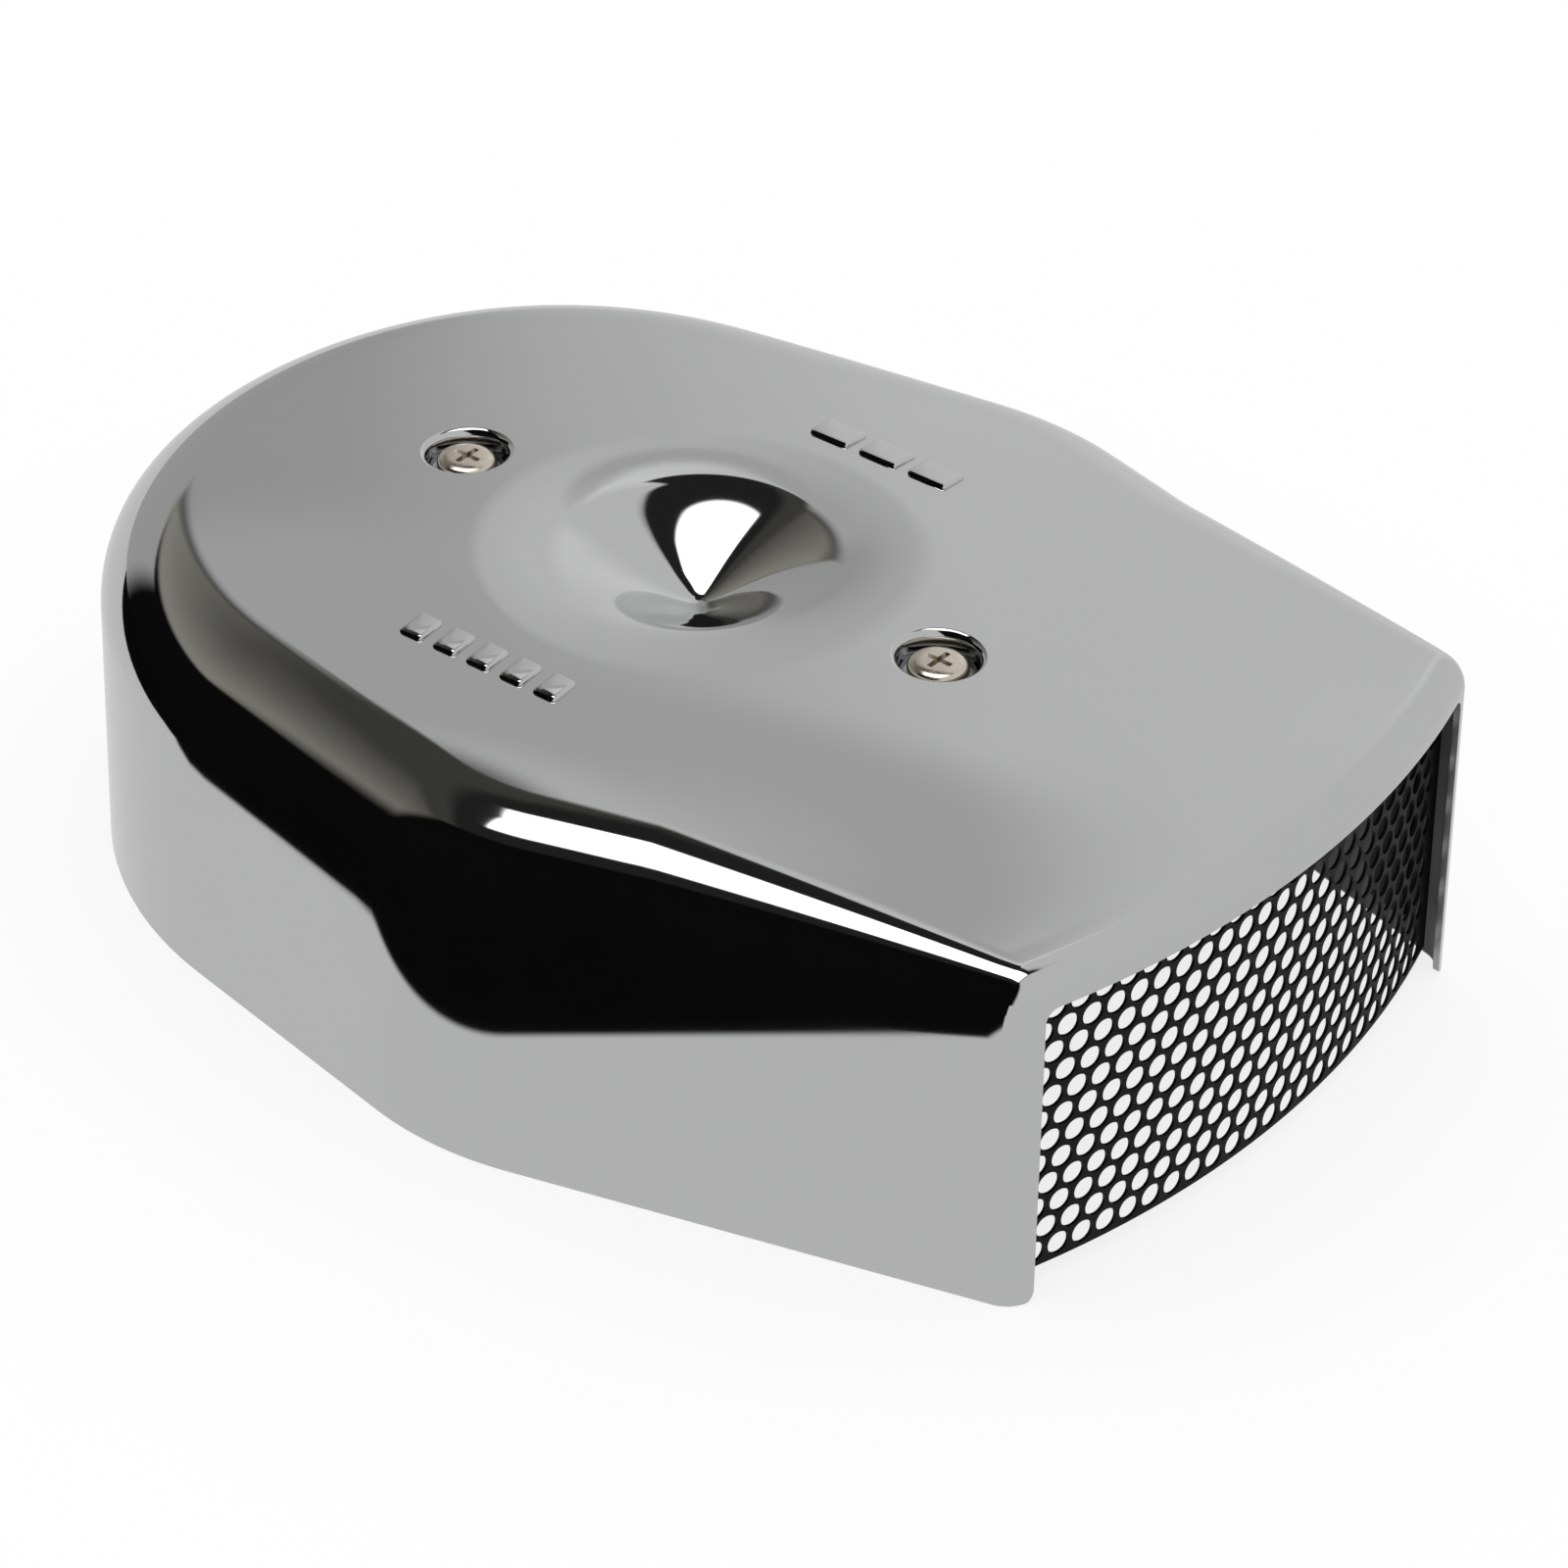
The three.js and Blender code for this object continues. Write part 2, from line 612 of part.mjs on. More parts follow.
addMesh(housing, 'filter_seal_lower', ovalRing(0, FILTER_WALL, filterLow, filterLow + SEAL_HEIGHT), SEAL);
addMesh(housing, 'filter_seal_upper', ovalRing(0, FILTER_WALL, filterHigh - SEAL_HEIGHT, filterHigh), SEAL);
addMesh(housing, 'filter_media', pleatedRing(mediaLow, mediaHigh), PAPER);
addMesh(housing, 'filter_outer_gauze', ovalRing(0.2, 0.9, mediaLow, mediaHigh), WIRE);
const innerGauze = ovalRing(FILTER_WALL - 0.9, FILTER_WALL - 0.2, mediaLow, mediaHigh);
addMesh(housing, 'filter_inner_gauze', innerGauze, WIRE);

addMesh(housing, 'cover_shell', coverShell(), CHROME);
const screenTop = COVER_HEIGHT - SCREEN_TOP_MARGIN;
const screenBack = SCREEN_INSET + SCREEN_THICKNESS;
const screen = frontBand(SCREEN_INSET, screenBack, MOUTH_Y - 2.4, SCREEN_BOTTOM, screenTop);
addMesh(housing, 'intake_screen', screen, BLACK_STEEL);
const stripLow = screenTop - STRIP_THICKNESS;
const topStrip = frontBand(screenBack + GAP, screenBack + 7, MOUTH_Y - 9, stripLow, screenTop);
addMesh(housing, 'screen_strip_top', topStrip, BLACK_STEEL);
addMesh(housing, 'screen_strip_left', sideStrip(1), BLACK_STEEL);
addMesh(housing, 'screen_strip_right', sideStrip(-1), BLACK_STEEL);

for (const [label, x] of [['front', SCREW_X], ['rear', -SCREW_X]]) {
  addMesh(housing, `cover_post_${label}`, coverPost(x), ALUMINIUM);
  addMesh(housing, `post_pad_${label}`, postPad(x), RUBBER);
  addMesh(housing, `cover_washer_${label}`, coverWasher(x), WIRE);
  addMesh(housing, `cover_screw_${label}`, coverScrew(x), SCREW_STEEL);
}

const rearmost = END_X - END_RADIUS;
const foremost = MOUTH_X + MOUTH_BOW;
housing.position.x = -(rearmost + foremost) / 2;

export default housing;
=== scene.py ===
"""Looks for the chrome air filter housing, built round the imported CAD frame.

Lengths are in millimetres about the carburettor axis until they reach Blender, where they
are metres in the row frame.
"""

import json
import math

import bmesh
import bpy
import numpy as np
from mathutils import Matrix, Vector
from mathutils.bvhtree import BVHTree
from mathutils.interpolate import poly_3d_calc


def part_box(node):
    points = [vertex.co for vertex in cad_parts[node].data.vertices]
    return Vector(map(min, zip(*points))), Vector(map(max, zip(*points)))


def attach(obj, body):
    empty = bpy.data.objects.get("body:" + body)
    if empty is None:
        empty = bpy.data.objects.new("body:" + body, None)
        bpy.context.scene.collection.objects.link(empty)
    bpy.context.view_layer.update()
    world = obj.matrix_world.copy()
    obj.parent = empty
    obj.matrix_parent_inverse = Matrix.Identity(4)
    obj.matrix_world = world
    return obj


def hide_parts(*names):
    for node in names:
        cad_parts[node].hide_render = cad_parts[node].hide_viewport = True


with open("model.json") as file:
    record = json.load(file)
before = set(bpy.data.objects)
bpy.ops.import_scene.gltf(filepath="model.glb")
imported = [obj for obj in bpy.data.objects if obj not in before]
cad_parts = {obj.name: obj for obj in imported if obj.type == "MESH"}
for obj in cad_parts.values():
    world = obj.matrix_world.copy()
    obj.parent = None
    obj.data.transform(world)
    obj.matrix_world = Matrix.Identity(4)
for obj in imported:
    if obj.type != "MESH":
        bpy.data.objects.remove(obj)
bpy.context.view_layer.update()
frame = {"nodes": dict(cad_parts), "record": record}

# ---- driving dimensions, as in the CAD ----
COVER_HEIGHT = 63.5
CROWN = 4.3
CROWN_HALF_WIDTH = 70.0
SHEET = 1.2
END_RADIUS = 78.3
END_X = -30.8
SHOULDER = np.array([16.3, 89.3])
SHOULDER_RADIUS = 59.0
MOUTH = np.array([115.3, 61.7])
MOUTH_BOW = 10.2
MOUTH_CORNER = 6.5
EDGE_RADIUS = 18.2
MOUTH_EDGE_RADIUS = 6.1
TAPER = (49.6, 111.0)
# The dish in the middle of the top: (radius, slope in degrees) from its edge to its tip.
DISH_SLOPES = [(37, 5.5), (33, 6.5), (26.5, 9), (22.8, 18), (18, 22), (12, 25), (6, 26), (2, 20), (0, 0)]
DISH_RADIUS = DISH_SLOPES[0][0]
SCREW_X = 51.1
DIMPLE_RADIUS = 6.9
DIMPLE_DEPTH = 5.0
DIMPLE_LIP = 1.5
WINDOW_HALF_WIDTH = 57.5
WINDOW_LIP = 6.0
WINDOW_CORNER = 2.5
SCREEN_INSET = 3.6
SCREEN_THICKNESS = 0.6
SCREEN_SIDE_MARGIN = 2.6
SCREEN_BOTTOM = 3.7
SCREEN_HALF_WIDTH = 59.3
SCREEN_TOP_MARGIN = 3.2
HOLE_PITCH = 5.0
HOLE_RADIUS = 2.1
FIRST_HOLE_ROW = 6.6
GAP = 0.3
SCREW_RADIUS = 3.1
SCREW_PITCH = 1.27
SCREW_ENGAGEMENT = 12.7
HEAD_RADIUS = 5.25
HEAD_HEIGHT = 2.6
WASHER_THICKNESS = 0.8
PAD_THICKNESS = 2.0
FILTER_HALF_LENGTH = 66.0
FILTER_HALF_WIDTH = 50.5
FILTER_WALL = 9.0
PLATE_LOW = 1.8
PLATE_HIGH = 4.0
THROAT_RADIUS = 25.0
HORN_WALL = 2.0
HORN_HEIGHT = 10.0
SCREW_CLEARANCE = 0.4

FRONT_RADIUS = (MOUTH[1] ** 2 + MOUTH_BOW**2) / (2 * MOUTH_BOW)
FRONT_CENTRE_X = MOUTH[0] + MOUTH_BOW - FRONT_RADIUS
ROW_SHIFT = -(END_X - END_RADIUS + MOUTH[0] + MOUTH_BOW) / 2
MM = 0.001

CROWN_FRONT = MOUTH[0] + MOUTH_BOW - MOUTH_EDGE_RADIUS
CROWN_REAR = END_X - END_RADIUS + EDGE_RADIUS
CROWN_MIDDLE = (CROWN_FRONT + CROWN_REAR) / 2
CROWN_HALF_LENGTH = (CROWN_FRONT - CROWN_REAR) / 2


# ---- camera, made first ----
CAMERA_AZIMUTH = math.radians(-52.12)
CAMERA_ELEVATION = math.radians(34.4)
CAMERA_ROLL = math.radians(1.14)
CAMERA_DISTANCE = 1.1954
CAMERA_TARGET = Vector((0.0150, -0.0049, 0.03175))
CAMERA_LENS = 162.5


def make_camera():
    camera = bpy.data.objects.new("camera", bpy.data.cameras.new("camera"))
    bpy.context.scene.collection.objects.link(camera)
    level = math.cos(CAMERA_ELEVATION)
    back = Vector(
        (
            level * math.cos(CAMERA_AZIMUTH),
            level * math.sin(CAMERA_AZIMUTH),
            math.sin(CAMERA_ELEVATION),
        )
    )
    right = Vector((-math.sin(CAMERA_AZIMUTH), math.cos(CAMERA_AZIMUTH), 0))
    up = back.cross(right)
    turned_right = math.cos(CAMERA_ROLL) * right + math.sin(CAMERA_ROLL) * up
    turned_up = -math.sin(CAMERA_ROLL) * right + math.cos(CAMERA_ROLL) * up
    turn = Matrix((turned_right, turned_up, back)).transposed().to_4x4()
    camera.matrix_world = Matrix.Translation(CAMERA_TARGET + CAMERA_DISTANCE * back) @ turn
    camera.data.sensor_width = 36
    camera.data.lens = CAMERA_LENS
    camera.data.clip_start = 0.01
    camera.data.clip_end = 20
    bpy.context.scene.camera = camera


make_camera()


# ---- node graphs ----
class Graph:
    """Short ways to add nodes to one tree."""

    def __init__(self, tree):
        self.tree = tree
        tree.nodes.clear()

    def add(self, kind, **settings):
        node = self.tree.nodes.new(kind)
        for name, value in settings.items():
            setattr(node, name, value)
        return node

    def put(self, socket, value):
        if isinstance(value, bpy.types.NodeSocket):
            self.tree.links.new(value, socket)
        else:
            socket.default_value = value

    def math(self, operation, *values):
        node = self.add("ShaderNodeMath", operation=operation)
        for socket, value in zip(node.inputs, values):
            self.put(socket, value)
        return node.outputs[0]

    def scale(self, value, low, high, to_low=0.0, to_high=1.0, smooth=True):
        """value from low..high to to_low..to_high, held at the ends."""
        kind = "SMOOTHSTEP" if smooth else "LINEAR"
        node = self.add("ShaderNodeMapRange", interpolation_type=kind, clamp=True)
        for socket, item in zip(node.inputs, (value, low, high, to_low, to_high)):
            self.put(socket, item)
        return node.outputs[0]

    def inside(self, value, low, high, soft):
        """1 between low and high, with soft edges."""
        rising = self.scale(self.math("SUBTRACT", value, low), -soft, soft)
        falling = self.scale(self.math("SUBTRACT", high, value), -soft, soft)
        return self.math("MULTIPLY", rising, falling)

    def product(self, first, *others):
        for other in others:
            first = self.math("MULTIPLY", first, other)
        return first

    def mix(self, share, first, second):
        """Colours first and second, mixed by share."""
        node = self.add("ShaderNodeMix", data_type="RGBA", clamp_factor=True)
        self.put(node.inputs[0], share)
        self.put(node.inputs[6], first)
        self.put(node.inputs[7], second)
        return node.outputs[2]

    def noise(self, scale, detail=2.0, roughness=0.5, stretch=(1, 1, 1)):
        """Noise over the object's own place, the same at each pose."""
        place = self.add("ShaderNodeTexCoord").outputs["Object"]
        mapping = self.add("ShaderNodeMapping")
        mapping.inputs["Scale"].default_value = stretch
        self.put(mapping.inputs["Vector"], place)
        node = self.add("ShaderNodeTexNoise")
        self.put(node.inputs["Vector"], mapping.outputs[0])
        node.inputs["Scale"].default_value = scale
        node.inputs["Detail"].default_value = detail
        node.inputs["Roughness"].default_value = roughness
        return node.outputs["Fac"]

    def grey(self, value):
        """A grey from a number in the graph."""
        node = self.add("ShaderNodeCombineColor")
        for socket in node.inputs:
            self.put(socket, value)
        return node.outputs[0]

    def tint(self, value, colour):
        """The colour, times a number in the graph."""
        node = self.add("ShaderNodeCombineColor")
        for socket, share in zip(node.inputs, colour):
            self.put(socket, self.math("MULTIPLY", value, share))
        return node.outputs[0]


def grey(value):
    """A plain grey for a colour socket."""
    return (value, value, value, 1)


# ---- surroundings ----
# Reflections find a studio that stands still round the part. Azimuths and elevations are in
# degrees. The turn is the azimuth counted from BACKDROP_CENTRE. u and v are where a direction
# meets a ceiling one metre up, along the part and across it. The last number of inside() is
# the softness of the edges.
SOFT_LIGHT = 1.0
FLOOR_GLOW = 0.82
FLOOR_SEEN = 0.72
FLOOR_DARK = 0.003
BACKDROP_BRIGHT = 0.73
BACKDROP_DIM = 0.54
BACKDROP_CENTRE = math.radians(67.5)
DARKNESS = 0.004
SOFTBOX_SEEN = 3.0
GAP_SEEN = 0.02
GAP_WARM = (0.06, 0.059, 0.053, 1)
CARD_TINT = (1.0, 0.98, 0.88)


def backdrop(graph, turn, elevation, u):
    """The pale wall beyond the part: its place, and how light it is. It narrows with height."""
    near_side = graph.scale(elevation, 0.0, 60.0, -135.0, -112.0, False)
    far_side = graph.scale(elevation, 19.0, 25.5, 108.0, 77.5)
    below_top = graph.scale(elevation, 59.0, 65.0, 1.0, 0.0)
    over_the_front = graph.scale(u, 0.2, 0.25)
    place = graph.product(
        graph.inside(turn, near_side, far_side, 5.0),
        graph.math("MAXIMUM", below_top, over_the_front),
    )
    light = graph.scale(turn, 56.0, 68.0, BACKDROP_BRIGHT, BACKDROP_DIM, False)
    bright_part = graph.product(
        graph.inside(turn, 34.0, 46.0, 9.0),
        graph.scale(elevation, 36.0, 42.0, 1.0, 0.0),
    )
    light = graph.math("ADD", light, graph.math("MULTIPLY", bright_part, 0.14))
    dim_foot = graph.product(
        graph.scale(turn, 63.0, 70.0),
        graph.scale(elevation, 28.0, 34.0, 0.09, 0.0),
    )
    light = graph.math("SUBTRACT", light, dim_foot)
    bright_top = graph.product(
        graph.inside(elevation, 43.5, 56.0, 1.0),
        graph.scale(turn, 45.0, 55.0),
        0.16,
    )
    light = graph.math("ADD", light, bright_top)
    dim_band = graph.product(
        graph.inside(elevation, 39.5, 42.5, 1.0),
        graph.scale(turn, 50.0, 58.0),
    )
    light = graph.math(
        "ADD",
        graph.product(light, graph.math("SUBTRACT", 1.0, dim_band)),
        graph.product(graph.math("MINIMUM", light, BACKDROP_DIM), dim_band),
    )
    return place, light


def card(graph, azimuth, elevation):
    """A dark, slightly warm card at the rear: its place, and how light it is."""
    place = graph.product(
        graph.inside(azimuth, 148.0, 212.0, 3.0),
        graph.inside(elevation, 23.0, 63.0, 1.5),
    )
    light = graph.scale(elevation, 26.0, 52.0, 0.32, 0.06, False)
    return place, light


def ceiling_gap(graph, u, v, z):
    """The dark gap round the soft box: its place, and its colour, warmer at its rear end."""
    rear = -0.85
    front = 0.22
    near = -0.5
    far = graph.scale(u, -0.41, -0.28, 0.68, 0.52)
    place = graph.product(
        graph.inside(u, rear, front, 0.05),
        graph.inside(v, near, far, 0.02),
        graph.scale(z, 0.5, 0.6),
    )
    colour = graph.mix(graph.scale(u, -0.72, -0.64), GAP_WARM, grey(GAP_SEEN))
    return place, colour


def soft_box(graph, u, v, z):
    """The place of the soft box overhead. Its rear and far sides are slanted."""
    slant = graph.math("MULTIPLY", graph.math("MAXIMUM", v, 0.0), -0.26)
    rear = graph.math("ADD", slant, -0.52)
    front = 0.2
    near = -0.28
    far = graph.math("ADD", 0.3, graph.math("MULTIPLY", u, 0.17))
    return graph.product(
        graph.inside(u, rear, front, 0.012),
        graph.inside(v, near, far, 0.02),
        graph.scale(z, 0.02, 0.05),
    )


def make_world():
    """Camera and diffuse rays find an even pale room. Reflections find the studio."""
    world = bpy.data.worlds.new("studio")
    bpy.context.scene.world = world
    world.use_nodes = True
    graph = Graph(world.node_tree)
    split = graph.add("ShaderNodeSeparateXYZ")
    graph.put(split.inputs[0], graph.add("ShaderNodeTexCoord").outputs["Generated"])
    x, y, z = split.outputs
    elevation = graph.math("DEGREES", graph.math("ARCSINE", z))
    back_x = graph.math("MULTIPLY", x, -1.0)
    back_y = graph.math("MULTIPLY", y, -1.0)
    azimuth = graph.math("ADD", graph.math("DEGREES", graph.math("ARCTAN2", back_y, back_x)), 180.0)
    cosine = math.cos(BACKDROP_CENTRE)
    sine = math.sin(BACKDROP_CENTRE)
    across = graph.math(
        "SUBTRACT",
        graph.math("MULTIPLY", y, cosine),
        graph.math("MULTIPLY", x, sine),
    )
    towards = graph.math(
        "ADD",
        graph.math("MULTIPLY", x, cosine),
        graph.math("MULTIPLY", y, sine),
    )
    turn = graph.math("DEGREES", graph.math("ARCTAN2", across, towards))
    rise = graph.math("MAXIMUM", z, 0.02)
    u = graph.math("DIVIDE", x, rise)
    v = graph.math("DIVIDE", y, rise)
    place, light = backdrop(graph, turn, elevation, u)
    colour = graph.mix(place, grey(DARKNESS), graph.grey(light))
    place, light = card(graph, azimuth, elevation)
    colour = graph.mix(place, colour, graph.tint(light, CARD_TINT))
    place, gap_colour = ceiling_gap(graph, u, v, z)
    colour = graph.mix(place, colour, gap_colour)
    colour = graph.mix(soft_box(graph, u, v, z), colour, grey(SOFTBOX_SEEN))
    reflected = graph.add("ShaderNodeLightPath").outputs["Is Glossy Ray"]
    background = graph.add("ShaderNodeBackground")
    graph.put(background.inputs["Color"], graph.mix(reflected, grey(SOFT_LIGHT), colour))
    output = graph.add("ShaderNodeOutputWorld")
    graph.put(output.inputs["Surface"], background.outputs[0])


def make_floor():
    """A pale floor. In reflections it is dark in front of the part, up to the mouth's corner."""
    half = 3.0
    mesh = bpy.data.meshes.new("floor")
    corners = [(-half, -half, 0), (half, -half, 0), (half, half, 0), (-half, half, 0)]
    mesh.from_pydata(corners, [], [(0, 1, 2, 3)])
    floor = bpy.data.objects.new("floor", mesh)
    bpy.context.scene.collection.objects.link(floor)
    material = bpy.data.materials.new("floor")
    material.use_nodes = True
    graph = Graph(material.node_tree)
    split = graph.add("ShaderNodeSeparateXYZ")
    graph.put(split.inputs[0], graph.add("ShaderNodeNewGeometry").outputs["Position"])
    x, y, _ = split.outputs
    # The dark area's edges, in metres. It lies at y below near_line and x below edge.
    near_line = graph.math("SUBTRACT", -0.1203, graph.math("MULTIPLY", x, 0.16))
    beyond = graph.scale(graph.math("SUBTRACT", y, near_line), -0.0012, 0.0012)
    forward = graph.math("SUBTRACT", -0.137, y)
    bevelled_corner = graph.math("ADD", 0.098, graph.math("MULTIPLY", forward, 0.9))
    far_line = graph.math("ADD", 0.111, graph.math("MULTIPLY", forward, 0.27))
    edge = graph.math("MINIMUM", bevelled_corner, far_line)
    beside = graph.scale(graph.math("SUBTRACT", x, edge), -0.002, 0.002)
    light = graph.math("MAXIMUM", beyond, beside)
    reflected = graph.add("ShaderNodeEmission")
    graph.put(reflected.inputs["Color"], graph.mix(light, grey(FLOOR_DARK), grey(FLOOR_SEEN)))
    glow = graph.add("ShaderNodeEmission")
    glow.inputs["Color"].default_value = grey(FLOOR_GLOW)
    matt = graph.add("ShaderNodeBsdfDiffuse")
    matt.inputs["Color"].default_value = grey(SOFT_LIGHT - FLOOR_GLOW)
    direct = graph.add("ShaderNodeAddShader")
    graph.put(direct.inputs[0], glow.outputs[0])
    graph.put(direct.inputs[1], matt.outputs[0])
    choose = graph.add("ShaderNodeMixShader")
    graph.put(choose.inputs[0], graph.add("ShaderNodeLightPath").outputs["Is Glossy Ray"])
    graph.put(choose.inputs[1], direct.outputs[0])
    graph.put(choose.inputs[2], reflected.outputs[0])
    output = graph.add("ShaderNodeOutputMaterial")
    graph.put(output.inputs["Surface"], choose.outputs[0])
    mesh.materials.append(material)


make_world()
make_floor()
bpy.context.scene.view_settings.view_transform = "Standard"


# ---- materials ----
def surface(name, base, metallic, roughness, wear=None, bump=None, shine=0.5):
    """A Principled material. wear is (noise scale, share by which the colour drops, rise in
    roughness); bump is (noise scale, height in metres, stretch)."""
    material = bpy.data.materials.new(name)
    material.use_nodes = True
    graph = Graph(material.node_tree)
    shader = graph.add("ShaderNodeBsdfPrincipled")
    shader.inputs["Metallic"].default_value = metallic
    shader.inputs["Roughness"].default_value = roughness
    shader.inputs["Base Color"].default_value = (*base, 1)
    shader.inputs["Specular IOR Level"].default_value = shine
    if wear:
        scale, drop, rise = wear
        field = graph.noise(scale, 4.0)
        darker = tuple(channel * (1 - drop) for channel in base)
        graph.put(shader.inputs["Base Color"], graph.mix(field, (*base, 1), (*darker, 1)))
        rough = graph.scale(field, 0.3, 0.7, roughness, roughness + rise, False)
        graph.put(shader.inputs["Roughness"], rough)
    if bump:
        scale, height, stretch = bump
        node = graph.add("ShaderNodeBump")
        node.inputs["Strength"].default_value = 1.0
        node.inputs["Distance"].default_value = height
        graph.put(node.inputs["Height"], graph.noise(scale, 3.0, 0.5, stretch))
        graph.put(shader.inputs["Normal"], node.outputs[0])
    output = graph.add("ShaderNodeOutputMaterial")
    graph.put(output.inputs["Surface"], shader.outputs[0])
    return material


CHROME = surface("chrome", (0.60, 0.605, 0.605), 1.0, 0.035, wear=(40, 0.03, 0.01))
SHEARED_EDGE = surface("sheared_edge", (0.42, 0.42, 0.42), 1.0, 0.38, wear=(300, 0.2, 0.1))
# The inside is a dull dark finish. It is also made near black as painted shade for the unlit inside of the
# housing.
SHADED_INSIDE = surface("cover_inside_painted_shade", (0.02, 0.02, 0.02), 0.0, 0.45, wear=(60, 0.4, 0.15))
BLACK_STEEL = surface("black_steel", (0.006, 0.006, 0.006), 0.0, 0.5, wear=(300, 0.3, 0.1), shine=0.1)
NICKEL = surface("nickel", (0.72, 0.65, 0.56), 1.0, 0.16, wear=(500, 0.15, 0.12))
ZINC = surface("zinc", (0.62, 0.63, 0.64), 1.0, 0.28, wear=(400, 0.25, 0.12))
ALUMINIUM = surface(
    "aluminium", (0.62, 0.63, 0.64), 1.0, 0.34, wear=(150, 0.15, 0.1), bump=(900, 0.00004, (1, 1, 1))
)
RUBBER = surface("rubber", (0.02, 0.02, 0.02), 0.0, 0.6, wear=(300, 0.3, 0.2))
SEAL = surface("seal", (0.035, 0.036, 0.04), 0.0, 0.55, wear=(200, 0.35, 0.2))
PAPER = surface(
    "filter_paper", (0.62, 0.44, 0.2), 0.0, 0.85, wear=(220, 0.25, 0.1), bump=(2500, 0.00005, (1, 1, 1))
)
FIBRE = surface(
    "gasket_fibre", (0.16, 0.13, 0.1), 0.0, 0.9, wear=(700, 0.35, 0.1), bump=(1500, 0.00006, (1, 1, 1))
)
GAUZE = surface("gauze_steel", (0.55, 0.56, 0.57), 1.0, 0.3, wear=(300, 0.3, 0.15))


# ---- mesh helpers ----
def row_points(points):
    """Millimetres about the carburettor axis to metres in the row frame."""
    placed = np.array(points, float)
    placed[:, 0] += ROW_SHIFT
    return placed * MM


def make_piece(name, parts, materials, body, replaced=()):
    """One object from (points, faces, material index) parts."""
    points = []
    faces = []
    indices = []
    for part_points, part_faces, index in parts:
        start = len(points)
        points.extend(row_points(part_points).tolist())
        faces.extend([[start + i for i in face] for face in part_faces])
        kinds = index if isinstance(index, list) else [index] * len(part_faces)
        indices.extend(kinds)
    mesh = bpy.data.meshes.new(name)
    mesh.from_pydata(points, [], faces)
    for material in materials:
        mesh.materials.append(material)
    mesh.polygons.foreach_set("material_index", indices)
    bm = bmesh.new()
    bm.from_mesh(mesh)
    bmesh.ops.recalc_face_normals(bm, faces=bm.faces)
    bm.to_mesh(mesh)
    bm.free()
    piece = bpy.data.objects.new(name, mesh)
    bpy.context.scene.collection.objects.link(piece)
    if body:
        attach(piece, body)
        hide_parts(*replaced)
    return piece


def smooth(piece, angle=30):
    """Shades the piece smooth, but keeps edges sharper than the angle."""
    piece.data.shade_smooth()
    piece.data.set_sharp_from_angle(angle=math.radians(angle))


def bake(piece):
    """Applies the piece's modifiers to its mesh."""
    evaluated = piece.evaluated_get(bpy.context.evaluated_depsgraph_get())
    mesh = bpy.data.meshes.new_from_object(evaluated)
    piece.modifiers.clear()
    piece.data = mesh


def join(piece, other):
    """Makes the other object's mesh a part of the piece."""
    bpy.ops.object.select_all(action="DESELECT")
    other.select_set(True)
    piece.select_set(True)
    bpy.context.view_layer.objects.active = piece
    bpy.ops.object.join()


def cut(piece, cutter):
    """Takes the cutter's shape out of the piece."""
    modifier = piece.modifiers.new("cut", "BOOLEAN")
    modifier.operation = "DIFFERENCE"
    modifier.solver = "MANIFOLD"
    modifier.object = cutter
    bake(piece)
    bpy.data.objects.remove(cutter)


def ring_faces(rows, columns, closed):
    """Quads of a grid whose columns run round. closed joins the last row to the first."""
    faces = []
    for r in range(rows if closed else rows - 1):
        after = (r + 1) % rows
        for c in range(columns):
            beside = (c + 1) % columns
            faces.append(
                (r * columns + c, r * columns + beside, after * columns + beside, after * columns + c)
            )
    return faces


def round_grid(section, columns, centre=(0, 0)):
    """A turned piece. section is (radius, height); a radius of 0 is a pole."""
    x, y = centre
    angles = 2 * math.pi * np.arange(columns) / columns
    points = []
    rows = []
    for radius, height in section:
        if radius == 0:
            rows.append([len(points)])
            points.append((x, y, height))
            continue
        rows.append(list(range(len(points), len(points) + columns)))
        for angle in angles:
            points.append((x + radius * math.cos(angle), y + radius * math.sin(angle), height))
    faces = []
    for lower, upper in zip(rows, rows[1:]):
        for c in range(columns):
            beside = (c + 1) % columns
            if len(lower) == 1:
                faces.append((lower[0], upper[beside], upper[c]))
            elif len(upper) == 1:
                faces.append((lower[c], lower[beside], upper[0]))
            else:
                faces.append((lower[c], lower[beside], upper[beside], upper[c]))
    return points, faces


def turned_ring(section, columns, centre=(0, 0)):
    """A turned ring from a closed section."""
    points, _ = round_grid(section, columns, centre)
    return points, ring_faces(len(section), columns, True)


def rounded_section(inner, outer, low, high, radius, steps=4):
    """A rectangular section with rounded corners."""
    section = []
    corners = [
        (outer - radius, low + radius, -90),
        (outer - radius, high - radius, 0),
        (inner + radius, high - radius, 90),
        (inner + radius, low + radius, 180),
    ]
    for x, z, start in corners:
        for i in range(steps + 1):
            angle = math.radians(start + 90 * i / steps)
            section.append((x + radius * math.cos(angle), z + radius * math.sin(angle)))
    return section


# ---- the cover's shape ----
COVER_MATERIALS = [CHROME, SHADED_INSIDE, SHEARED_EDGE]
CHROME_INDEX, SHADED_INSIDE_INDEX, EDGE_INDEX = range(3)


def arc(centre, radius, start, end, count):
    """Points and outward normals of an arc with count steps."""
    angles = np.linspace(start, end, count + 1)
    normals = np.column_stack([np.cos(angles), np.sin(angles)])
    return centre + radius * normals, normals


def corner(point, arriving, leaving, radius, count):
    """The arc that rounds a corner of the outline."""
    turn = math.acos(np.clip(arriving @ leaving, -1, 1))
    start = point - arriving * radius * math.tan(turn / 2)
    outward = np.array([-arriving[1], arriving[0]])
    angle = math.atan2(outward[1], outward[0])
    return arc(start - outward * radius, radius, angle, angle - turn, count)


